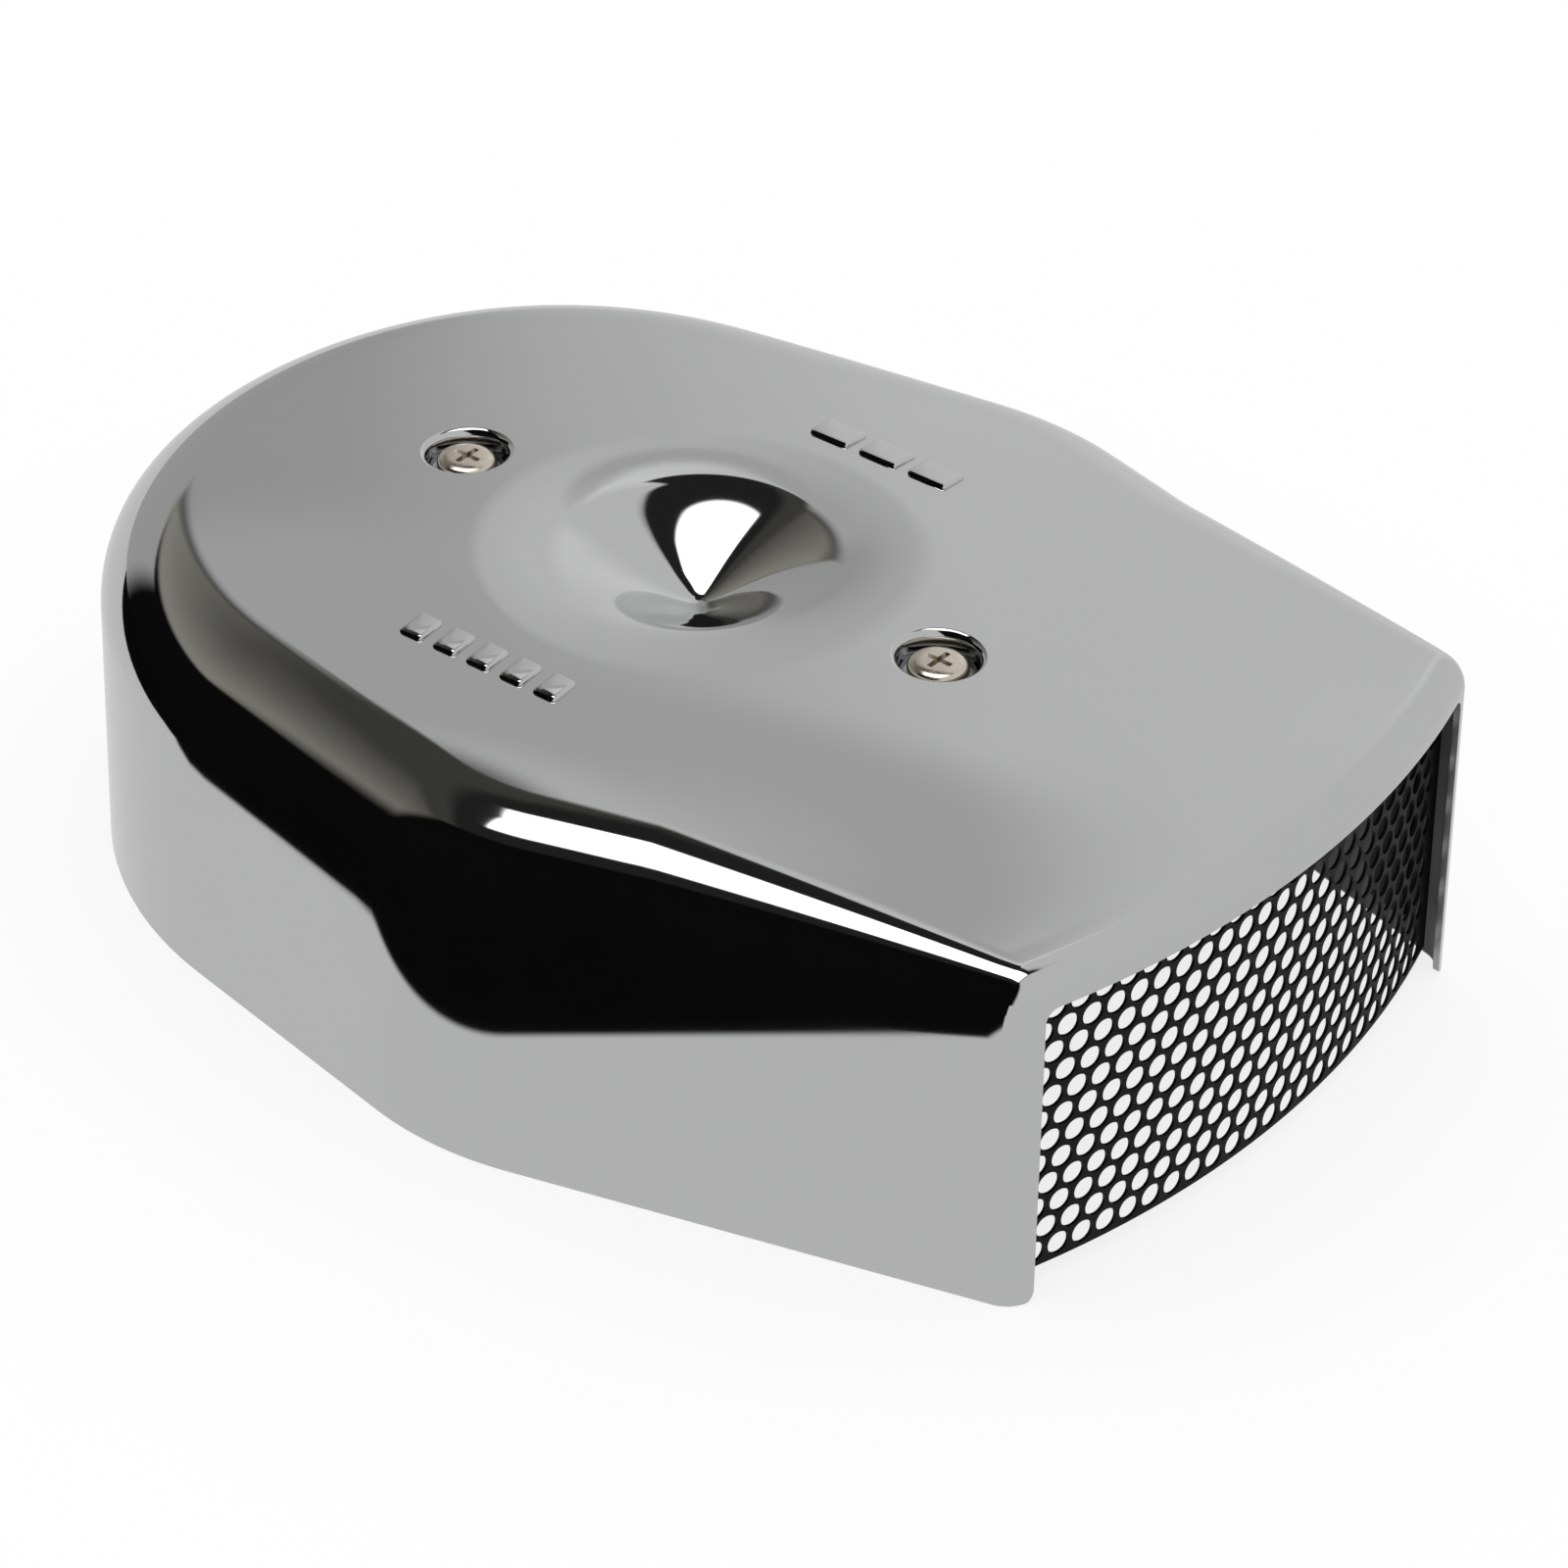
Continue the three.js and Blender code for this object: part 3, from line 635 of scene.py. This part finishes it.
def straight(first, second, count):
    """The points between two arcs, without their ends."""
    share = np.arange(1, count)[:, None] / count
    start = first[0][-1]
    points = start + (second[0][0] - start) * share
    return points, np.repeat(first[1][-1:], count - 1, 0)


def cover_outline():
    """Points and outward normals round the cover, clockwise from the rear."""
    centre = np.array([END_X, 0.0])
    to_shoulder = SHOULDER - centre
    distance = np.linalg.norm(to_shoulder)
    tangent = math.atan2(to_shoulder[1], to_shoulder[0]) + math.acos(END_RADIUS / distance)
    rear = arc(centre, END_RADIUS, math.pi, tangent, 36)
    side = SHOULDER - rear[0][-1]
    side = side / np.linalg.norm(side)
    taper = MOUTH - SHOULDER
    taper = taper / np.linalg.norm(taper)
    shoulder = corner(SHOULDER, side, taper, SHOULDER_RADIUS, 24)
    front_centre = np.array([FRONT_CENTRE_X, 0.0])
    towards = MOUTH - front_centre
    leaving = np.array([towards[1], -towards[0]]) / np.linalg.norm(towards)
    mouth = corner(MOUTH, taper, leaving, MOUTH_CORNER, 12)
    first = mouth[0][-1] - front_centre
    front = arc(front_centre, FRONT_RADIUS, math.atan2(first[1], first[0]), 0, 24)
    runs = [
        rear,
        straight(rear, shoulder, 12),
        shoulder,
        straight(shoulder, mouth, 30),
        mouth,
        (front[0][1:], front[1][1:]),
    ]
    points = np.concatenate([run[0] for run in runs])
    normals = np.concatenate([run[1] for run in runs])
    flip = np.array([1, -1])
    points = np.concatenate([points, points[1:-1][::-1] * flip])
    normals = np.concatenate([normals, normals[1:-1][::-1] * flip])
    return points, normals


def top_height(points):
    """Height of the domed top, without its dish."""
    along = (points[:, 0] - CROWN_MIDDLE) / CROWN_HALF_LENGTH
    across = points[:, 1] / CROWN_HALF_WIDTH
    return COVER_HEIGHT + CROWN * (1 - along**2) * (1 - across**2)


def top_slope(points, directions):
    """Rise of the top per millimetre along directions."""
    step = 0.01
    return (top_height(points + step * directions) - top_height(points)) / step


def height_at(x, y=0.0):
    return float(top_height(np.array([[x, y]]))[0])


def dish_section(count):
    """Radius and depth below the top, from the dish's edge towards its tip."""
    steps_per_mm = 40
    radii = np.linspace(DISH_RADIUS, 0, DISH_RADIUS * steps_per_mm + 1)
    edges = [radius for radius, _ in reversed(DISH_SLOPES)]
    slopes = [math.radians(slope) for _, slope in reversed(DISH_SLOPES)]
    rise = np.tan(np.interp(radii, edges, slopes))
    steps = (rise[1:] + rise[:-1]) / 2 * (radii[0] - radii[1])
    depths = np.concatenate([[0], np.cumsum(steps)])
    chosen = np.linspace(DISH_RADIUS, 0, count + 1)
    return np.column_stack([chosen, np.interp(-chosen, -radii, depths)])


DISH_STEPS = 56
DISH_SECTION = dish_section(DISH_STEPS)


def outer_rows():
    """The outer skin from just above the rim to just before the dish's tip."""
    points, normals = cover_outline()
    count = len(points)
    radius = np.interp(points[:, 0], TAPER, (EDGE_RADIUS, MOUTH_EDGE_RADIUS))
    slope = top_slope(points - normals * radius[:, None], -normals)
    last = math.pi / 2 - np.arctan(slope)
    edge = points - normals * (radius * (1 - np.cos(last)))[:, None]
    centre = top_height(edge) - radius * np.sin(last)
    rows = []
    low = SHEET / 2
    wall_steps = 10
    for i in range(wall_steps):
        height = low + (centre - low) * i / wall_steps
        rows.append(np.column_stack([points, height]))
    fillet_steps = 22
    for i in range(fillet_steps + 1):
        angle = last * i / fillet_steps
        inset = radius * (1 - np.cos(angle))
        rows.append(
            np.column_stack([points - normals * inset[:, None], centre + radius * np.sin(angle)])
        )
    angles = math.pi * (1 - 2 * np.arange(count) / count)
    directions = np.column_stack([np.cos(angles), np.sin(angles)])
    crown_steps = 24
    for i in range(1, crown_steps):
        place = edge + (directions * DISH_RADIUS - edge) * i / crown_steps
        rows.append(np.column_stack([place, top_height(place)]))
    for distance, depth in DISH_SECTION[:-1]:
        place = directions * distance
        rows.append(np.column_stack([place, top_height(place) - depth]))
    return np.array(rows), points, normals


def tangents(before, here, after):
    """Directions of the curves through three neighbours, whatever their spacing."""
    back = np.linalg.norm(here - before, axis=-1, keepdims=True)
    ahead = np.linalg.norm(after - here, axis=-1, keepdims=True)
    return (after - here) * back / ahead + (here - before) * ahead / back


def skin_normals(rows):
    round_way = tangents(np.roll(rows, 1, 1), rows, np.roll(rows, -1, 1))
    first = 2 * rows[:1] - rows[1:2]
    last = 2 * rows[-1:] - rows[-2:-1]
    padded = np.concatenate([first, rows, last])
    up_way = tangents(padded[:-2], padded[1:-1], padded[2:])
    normals = np.cross(up_way, round_way)
    normals /= np.linalg.norm(normals, axis=2, keepdims=True)
    if normals[2, 0, 0] > 0:
        normals = -normals
    return normals


def cover_sheet():
    """Points, faces, material indices and normals: inner skin, rounded rim, outer skin."""
    outer, points, normals = outer_rows()
    outward = skin_normals(outer)
    inner = (outer - SHEET * outward)[::-1]
    rim = []
    rim_facing = []
    rim_steps = 6
    half = SHEET / 2
    for i in range(1, rim_steps):
        angle = math.pi + math.pi * i / rim_steps
        offset = half * math.cos(angle) - half
        height = np.full(len(points), half + half * math.sin(angle))
        rim.append(np.column_stack([points + normals * offset, height]))
        facing = np.column_stack([normals * math.cos(angle), np.full(len(points), math.sin(angle))])
        rim_facing.append(facing)
    rows = np.concatenate([inner, np.array(rim), outer])
    facing = np.concatenate([-outward[::-1], np.array(rim_facing), outward]).reshape(-1, 3).tolist()
    count = rows.shape[1]
    faces = [tuple(reversed(face)) for face in ring_faces(len(rows), count, False)]
    inner_faces = (len(inner) - 1) * count
    kinds = [SHADED_INSIDE_INDEX] * inner_faces + [CHROME_INDEX] * (len(faces) - inner_faces)
    tip = height_at(0) - DISH_SECTION[-1][1]
    vertices = rows.reshape(-1, 3).tolist()
    inner_pole = len(vertices)
    vertices.append((0, 0, tip - SHEET))
    facing.extend([(0, 0, -1), (0, 0, 1)])
    outer_pole = len(vertices)
    vertices.append((0, 0, tip))
    last = (len(rows) - 1) * count
    for c in range(count):
        beside = (c + 1) % count
        faces.append((inner_pole, c, beside))
        kinds.append(SHADED_INSIDE_INDEX)
        faces.append((outer_pole, last + beside, last + c))
        kinds.append(CHROME_INDEX)
    return vertices, faces, kinds, facing


def keep_normals(piece, vertices, faces, facing):
    """Gives the cut mesh the exact normals of the skin that it was cut from."""
    on_the_skin = 2e-5
    same_side = 0.8
    points = [Vector(point) for point in row_points(vertices)]
    tree = BVHTree.FromPolygons(points, faces)
    mesh = piece.data
    found = {}
    for vertex in mesh.vertices:
        place, _, index, distance = tree.find_nearest(vertex.co)
        if distance > on_the_skin:
            continue
        corners = faces[index]
        shares = poly_3d_calc([points[i] for i in corners], place)
        normal = Vector((0, 0, 0))
        for i, share in zip(corners, shares):
            normal += share * Vector(facing[i])
        found[vertex.index] = normal.normalized()
    normals = [tuple(item.vector) for item in mesh.corner_normals]
    for polygon in mesh.polygons:
        for loop in polygon.loop_indices:
            normal = found.get(mesh.loops[loop].vertex_index)
            if normal is not None and normal.dot(polygon.normal) > same_side:
                normals[loop] = tuple(normal)
    mesh.normals_split_custom_set(normals)


def window_cutter():
    """A prism with rounded upper corners and lower corners that flare out."""
    half = WINDOW_HALF_WIDTH
    top = COVER_HEIGHT - WINDOW_LIP
    radius = WINDOW_CORNER
    below_rim = -2.0
    behind_mouth = 10.8
    past_front = 5
    corner_steps = 6
    angles = [math.radians(90 * i / corner_steps) for i in range(corner_steps + 1)]
    outline = [(half + radius, below_rim)]
    for angle in angles:
        outline.append((half + radius - radius * math.sin(angle), radius - radius * math.cos(angle)))
    for angle in angles:
        outline.append((half - radius + radius * math.cos(angle), top - radius + radius * math.sin(angle)))
    outline = outline + [(-y, z) for y, z in reversed(outline)]
    count = len(outline)
    ends = (MOUTH[0] - behind_mouth, MOUTH[0] + MOUTH_BOW + past_front)
    points = [(x, y, z) for x in ends for y, z in outline]
    faces = ring_faces(2, count, False)
    faces.append(tuple(reversed(range(count))))
    faces.append(tuple(range(count, 2 * count)))
    return points, faces, EDGE_INDEX


def dimple_parts(x):
    """The cutter for a dimple's hole, and the stamped cup that fills it."""
    top = height_at(x)
    reach = 6
    outer = DIMPLE_RADIUS + DIMPLE_LIP
    columns = 72
    points, faces = round_grid(
        [(0, top - reach), (outer, top - reach), (outer, top + reach), (0, top + reach)],
        columns,
        (x, 0),
    )
    hole = SCREW_RADIUS + SCREW_CLEARANCE
    floor = DIMPLE_DEPTH
    under = DIMPLE_DEPTH + SHEET
    section = [
        (outer, 0.0),
        (outer - 0.25, 0.02),
        (outer - 0.6, 0.12),
        (outer - 0.95, 0.35),
        (outer - 1.25, 0.75),
        (outer - 1.43, 1.3),
        (DIMPLE_RADIUS, 2.0),
        (DIMPLE_RADIUS, floor - 1.2),
        (DIMPLE_RADIUS - 0.15, floor - 0.6),
        (DIMPLE_RADIUS - 0.5, floor - 0.2),
        (DIMPLE_RADIUS - 1.0, floor),
        (hole, floor),
        (hole, under),
        (DIMPLE_RADIUS - 0.4, under),
        (DIMPLE_RADIUS + 0.6, under - 0.5),
        (DIMPLE_RADIUS + SHEET, under - 1.6),
        (DIMPLE_RADIUS + SHEET, 2.2),
        (outer, SHEET),
    ]
    cup = []
    for radius, depth in section:
        # The lip follows the domed top. Below it the cup levels out.
        flat = np.clip((depth - 1.3) / 2, 0, 1)
        for c in range(columns):
            angle = 2 * math.pi * c / columns
            px = x + radius * math.cos(angle)
            py = radius * math.sin(angle)
            surface_height = height_at(px, py) * (1 - flat) + top * flat
            cup.append((px, py, surface_height - depth))
    cup_faces = [tuple(reversed(face)) for face in ring_faces(len(section), columns, True)]
    return (points, faces, EDGE_INDEX), (cup, cup_faces, CHROME_INDEX)


def raised_pad(x, y, length, width):
    """A plain rounded pad stamped up from the top."""
    radius = 0.9
    points = []
    corner_steps = 5
    # Each ring's inset from the pad's outline, and its lift above the top.
    rings = [(0.0, -0.3), (0.0, 0.1), (0.15, 0.45), (0.4, 0.68), (0.7, 0.75)]
    for inset, lift in rings:
        for sx, sy, start in ((1, 1, 0), (-1, 1, 90), (-1, -1, 180), (1, -1, 270)):
            for i in range(corner_steps + 1):
                angle = math.radians(start + 90 * i / corner_steps)
                px = x + sx * (length / 2 - radius) + (radius - inset) * math.cos(angle)
                py = y + sy * (width / 2 - radius) + (radius - inset) * math.sin(angle)
                points.append((px, py, height_at(px, py) + lift))
    count = 4 * (corner_steps + 1)
    faces = ring_faces(len(rings), count, False)
    faces.append(tuple(range((len(rings) - 1) * count, len(rings) * count)))
    faces.append(tuple(reversed(range(count))))
    return points, faces, 0


def build_cover():
    vertices, faces, kinds, facing = cover_sheet()
    sheet = [(vertices, faces, kinds)]
    cover = make_piece("cover", sheet, COVER_MATERIALS, "cover", ["cover_shell"])
    cutters = [window_cutter()]
    extras = []
    for x in (SCREW_X, -SCREW_X):
        cutter, cup = dimple_parts(x)
        cutters.append(cutter)
        extras.append(cup)
    cut(cover, make_piece("cutters", cutters, COVER_MATERIALS, None))
    pad_width = 6.2
    pad_spacing = 2.2
    # Each row's middle along x, its y, the number of pads and their pitch.
    near_row = (-6.6, -46.7, 5, 7.2)
    far_row = (5.0, 45.5, 3, 10.6)
    for middle, y, count, pitch in (near_row, far_row):
        for i in range(count):
            x = middle + (i - (count - 1) / 2) * pitch
            extras.append(raised_pad(x, y, pitch - pad_spacing, pad_width))
    details = make_piece("details", extras, [CHROME], None)
    join(cover, details)
    smooth(cover)
    keep_normals(cover, vertices, faces, facing)


build_cover()


# ---- intake screen ----
def build_screen():
    """Hexagonal cells round each hole, bent to the front's curve."""
    radius = FRONT_RADIUS - SCREEN_INSET
    half = radius * math.asin(SCREEN_HALF_WIDTH / radius)
    low = SCREEN_BOTTOM
    high = COVER_HEIGHT - SCREEN_TOP_MARGIN
    row_pitch = HOLE_PITCH * math.sqrt(3) / 2
    apothem = HOLE_PITCH / 2
    segments = 24
    bm = bmesh.new()
    rows = int((high - low) / row_pitch) + 3
    columns = int(half / HOLE_PITCH) + 2
    for r in range(-1, rows):
        z = FIRST_HOLE_ROW + r * row_pitch
        for c in range(-columns, columns + 1):
            s = (c + 0.5 * (r % 2)) * HOLE_PITCH
            open_cell = r >= 0 and abs(s) + HOLE_RADIUS < half - SCREEN_SIDE_MARGIN
            rim = []
            hole = []
            for i in range(segments):
                angle = 2 * math.pi * i / segments
                part = (angle + math.pi / 6) % (math.pi / 3) - math.pi / 6
                reach = apothem / math.cos(part)
                rim.append(bm.verts.new((s + reach * math.cos(angle), z + reach * math.sin(angle), 0)))
                if open_cell:
                    across = s + HOLE_RADIUS * math.cos(angle)
                    hole.append(bm.verts.new((across, z + HOLE_RADIUS * math.sin(angle), 0)))
            if not open_cell:
                bm.faces.new(rim)
                continue
            for i in range(segments):
                beside = (i + 1) % segments
                bm.faces.new((rim[i], rim[beside], hole[beside], hole[i]))
    bmesh.ops.remove_doubles(bm, verts=bm.verts, dist=1e-3)
    for point, normal in (
        ((0, low, 0), (0, 1, 0)),
        ((0, high, 0), (0, -1, 0)),
        ((-half, 0, 0), (1, 0, 0)),
        ((half, 0, 0), (-1, 0, 0)),
    ):
        everything = bm.verts[:] + bm.edges[:] + bm.faces[:]
        bmesh.ops.bisect_plane(
            bm, geom=everything, plane_co=point, plane_no=normal, clear_inner=True, dist=1e-4
        )
    for vertex in bm.verts:
        s, z, _ = vertex.co
        angle = s / radius
        x = FRONT_CENTRE_X + radius * math.cos(angle) + ROW_SHIFT
        vertex.co = (x * MM, radius * math.sin(angle) * MM, z * MM)
    bmesh.ops.recalc_face_normals(bm, faces=bm.faces)
    if sum(face.normal.x for face in bm.faces) < 0:
        bmesh.ops.reverse_faces(bm, faces=bm.faces)
    mesh = bpy.data.meshes.new("screen")
    bm.to_mesh(mesh)
    bm.free()
    mesh.materials.append(BLACK_STEEL)
    screen = bpy.data.objects.new("screen", mesh)
    bpy.context.scene.collection.objects.link(screen)
    thicken = screen.modifiers.new("thickness", "SOLIDIFY")
    thicken.thickness = SCREEN_THICKNESS * MM
    thicken.offset = -1
    bake(screen)
    smooth(screen)
    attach(screen, "cover")
    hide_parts("intake_screen")


build_screen()


# ---- cover screws ----
def threaded_shank(points, faces, x, seat, low, columns):
    """Adds a thread below the last ring of points, with a point chamfer."""
    start = len(points) - columns
    steps_per_turn = 6
    thread_depth = 0.5
    steps = int((seat - low) / SCREW_PITCH * steps_per_turn)
    for i in range(1, steps + 1):
        z = seat - (seat - low) * i / steps
        for c in range(columns):
            turn = z / SCREW_PITCH - c / columns
            share = abs(2 * (turn % 1) - 1)
            below_head = min(1.0, (seat - z) / 3)
            chamfer = 0.3 * max(0.0, 1 - (z - low))
            radius = SCREW_RADIUS - thread_depth * share * below_head - chamfer
            angle = 2 * math.pi * c / columns
            points.append((x + radius * math.cos(angle), radius * math.sin(angle), z))
    for i in range(steps):
        for c in range(columns):
            beside = (c + 1) % columns
            a = start + i * columns
            b = a + columns
            faces.append((a + c, b + c, b + beside, a + beside))
    last = start + steps * columns
    faces.append(tuple(last + c for c in reversed(range(columns))))


def recess_blade(x, top, turned_quarter):
    """One blade of the cross recess, narrower at its foot."""
    half_length = 2.75
    half_width = 0.52
    depth = 2.0
    shape = []
    for z, share in ((top - depth, 0.3), (top + 0.6, 1.15)):
        for sx, sy in ((-1, -1), (1, -1), (1, 1), (-1, 1)):
            px = sx * half_length * share
            py = sy * half_width
            if turned_quarter:
                px, py = -py, px
            shape.append((x + px, py, z))
    return shape, ring_faces(2, 4, False) + [(3, 2, 1, 0), (4, 5, 6, 7)], 0


def build_screw(label, x):
    dimple_floor = height_at(x) - DIMPLE_DEPTH
    seat = dimple_floor + WASHER_THICKNESS + 2 * GAP
    top = seat + HEAD_HEIGHT
    low = dimple_floor - SHEET - PAD_THICKNESS - 2 * GAP - SCREW_ENGAGEMENT
    section = [
        (0, top),
        (HEAD_RADIUS - 2.4, top - 0.03),
        (HEAD_RADIUS - 1.3, top - 0.16),
        (HEAD_RADIUS - 0.55, top - 0.45),
        (HEAD_RADIUS - 0.15, top - 0.85),
        (HEAD_RADIUS, top - 1.3),
        (HEAD_RADIUS, seat + 0.25),
        (HEAD_RADIUS - 0.2, seat),
        (SCREW_RADIUS, seat),
    ]
    columns = 48
    points, faces = round_grid(section, columns, (x, 0))
    faces = [tuple(reversed(face)) for face in faces]
    threaded_shank(points, faces, x, seat, low, columns)
    part = [(points, faces, 0)]
    node = f"cover_screw_{label}"
    screw = make_piece(f"screw_{label}", part, [NICKEL], f"{label}_screw", [node])
    for turned_quarter in (False, True):
        blade = recess_blade(x, top, turned_quarter)
        cut(screw, make_piece("blade", [blade], [NICKEL], None))
    smooth(screw, 40)


def build_washer(label, x):
    low = height_at(x) - DIMPLE_DEPTH + GAP
    inner = SCREW_RADIUS + SCREW_CLEARANCE
    section = rounded_section(inner, DIMPLE_RADIUS - 1.0, low, low + WASHER_THICKNESS, 0.15)
    points, faces = turned_ring(section, 48, (x, 0))
    part = [(points, faces, 0)]
    node = f"cover_washer_{label}"
    washer = make_piece(f"washer_{label}", part, [ZINC], f"{label}_washer", [node])
    smooth(washer)


for label, x in (("front", SCREW_X), ("rear", -SCREW_X)):
    build_screw(label, x)
    build_washer(label, x)


# ---- filter element ----
def oval_at(share, inset):
    """A point of the filter's oval at a share of its length, moved in by inset."""
    run = 2 * (FILTER_HALF_LENGTH - FILTER_HALF_WIDTH)
    bend = math.pi * (FILTER_HALF_WIDTH - FILTER_WALL / 2)
    distance = (share % 1) * 2 * (run + bend)
    side = 1 if distance < run + bend else -1
    distance = distance % (run + bend)
    radius = FILTER_HALF_WIDTH - inset
    if distance < run:
        return side * (run / 2 - distance), side * radius
    angle = math.pi / 2 + math.pi * (distance - run) / bend
    return side * (radius * math.cos(angle) - run / 2), side * radius * math.sin(angle)


def oval_ring(section, columns):
    """A closed section of (inset, height) carried round the oval."""
    points = []
    for inset, z in section:
        for c in range(columns):
            points.append((*oval_at(c / columns, inset), z))
    return points, ring_faces(len(section), columns, True), 0


def filter_piece(name, part, material, node):
    return make_piece(name, [part], [material], "filter_element", [node])


def build_seal(end):
    node = f"filter_seal_{end}"
    low, high = (corner.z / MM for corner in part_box(node))
    part = oval_ring(rounded_section(0.0, FILTER_WALL, low, high, 1.3), 160)
    smooth(filter_piece(f"seal_{end}", part, SEAL, node), 40)


def build_media(low, high):
    """Pleated paper between the gauzes."""
    pleats = 120
    paper = 0.6
    fold_margin = 1.5
    section = [(0.0, low), (0.0, high), (paper, high), (paper, low)]
    points = []
    for shift, z in section:
        for i in range(2 * pleats):
            inset = fold_margin if i % 2 == 0 else FILTER_WALL - fold_margin - paper
            points.append((*oval_at(i / (2 * pleats), inset + shift), z))
    part = (points, ring_faces(len(section), 2 * pleats, True), 0)
    filter_piece("media", part, PAPER, "filter_media")


def build_gauze(side, inset, low, high):
    """Wires round diamond-shaped openings."""
    columns = 100
    levels = 12
    rows = 2 * levels + 1
    points = []
    for j in range(rows):
        z = low + (high - low) * j / (2 * levels)
        for c in range(columns):
            points.append((*oval_at((c + 0.5 * (j % 2)) / columns, inset), z))
    faces = []
    for j in range(rows - 2):
        for c in range(columns):
            left = (c - 1 + j % 2) % columns
            right = (c + j % 2) % columns
            middle = (j + 1) * columns
            faces.append((j * columns + c, middle + right, (j + 2) * columns + c, middle + left))
    part = (points, faces, 0)
    gauze = filter_piece(f"gauze_{side}", part, GAUZE, f"filter_{side}_gauze")
    wires = gauze.modifiers.new("wires", "WIREFRAME")
    wires.thickness = 0.45 * MM
    wires.use_boundary = True
    bake(gauze)
    smooth(gauze, 60)


def build_filter():
    for end in ("lower", "upper"):
        build_seal(end)
    low, high = (corner.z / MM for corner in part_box("filter_media"))
    build_media(low, high)
    wire_inset = 0.55
    build_gauze("outer", wire_inset, low, high)
    build_gauze("inner", FILTER_WALL - wire_inset, low, high)


build_filter()


# ---- air horn ----
def build_horn():
    inner = THROAT_RADIUS
    outer = THROAT_RADIUS + HORN_WALL
    top = PLATE_HIGH + HORN_HEIGHT
    section = [
        (inner, PLATE_LOW),
        (outer, PLATE_LOW),
        (outer, top - 5.5),
        (outer + 0.3, top - 3.5),
        (outer + 1.1, top - 1.7),
        (outer + 2.9, top),
        (outer + 2.9, top + 0.7),
        (outer + 2.3, top + 1.3),
        (outer + 1.4, top + 1.2),
        (inner + 1.6, top - 0.7),
        (inner + 0.5, top - 3),
        (inner, top - 5.5),
    ]
    part = [(*turned_ring(section, 96), 0)]
    horn = make_piece("horn", part, [ALUMINIUM], "backplate_group", ["air_horn"])
    smooth(horn, 40)


build_horn()


# ---- better finishes for the CAD nodes that are shown ----
FINISH_BY_SLOT = {
    "gasket_fibre": FIBRE,
    "backplate_aluminium": ALUMINIUM,
    "zinc_steel": ZINC,
    "seal_rubber": SEAL,
    "pad_rubber": RUBBER,
    "filter_paper": PAPER,
    "gauze_steel": GAUZE,
    "cover_chrome": CHROME,
    "screen_black": BLACK_STEEL,
    "screw_nickel": NICKEL,
}


def finish_nodes():
    for part in frame["record"]["subparts"]:
        node = frame["nodes"][part["node"]]
        node.data.materials.clear()
        node.data.materials.append(FINISH_BY_SLOT[part["material_slot"]])
        smooth(node)


finish_nodes()
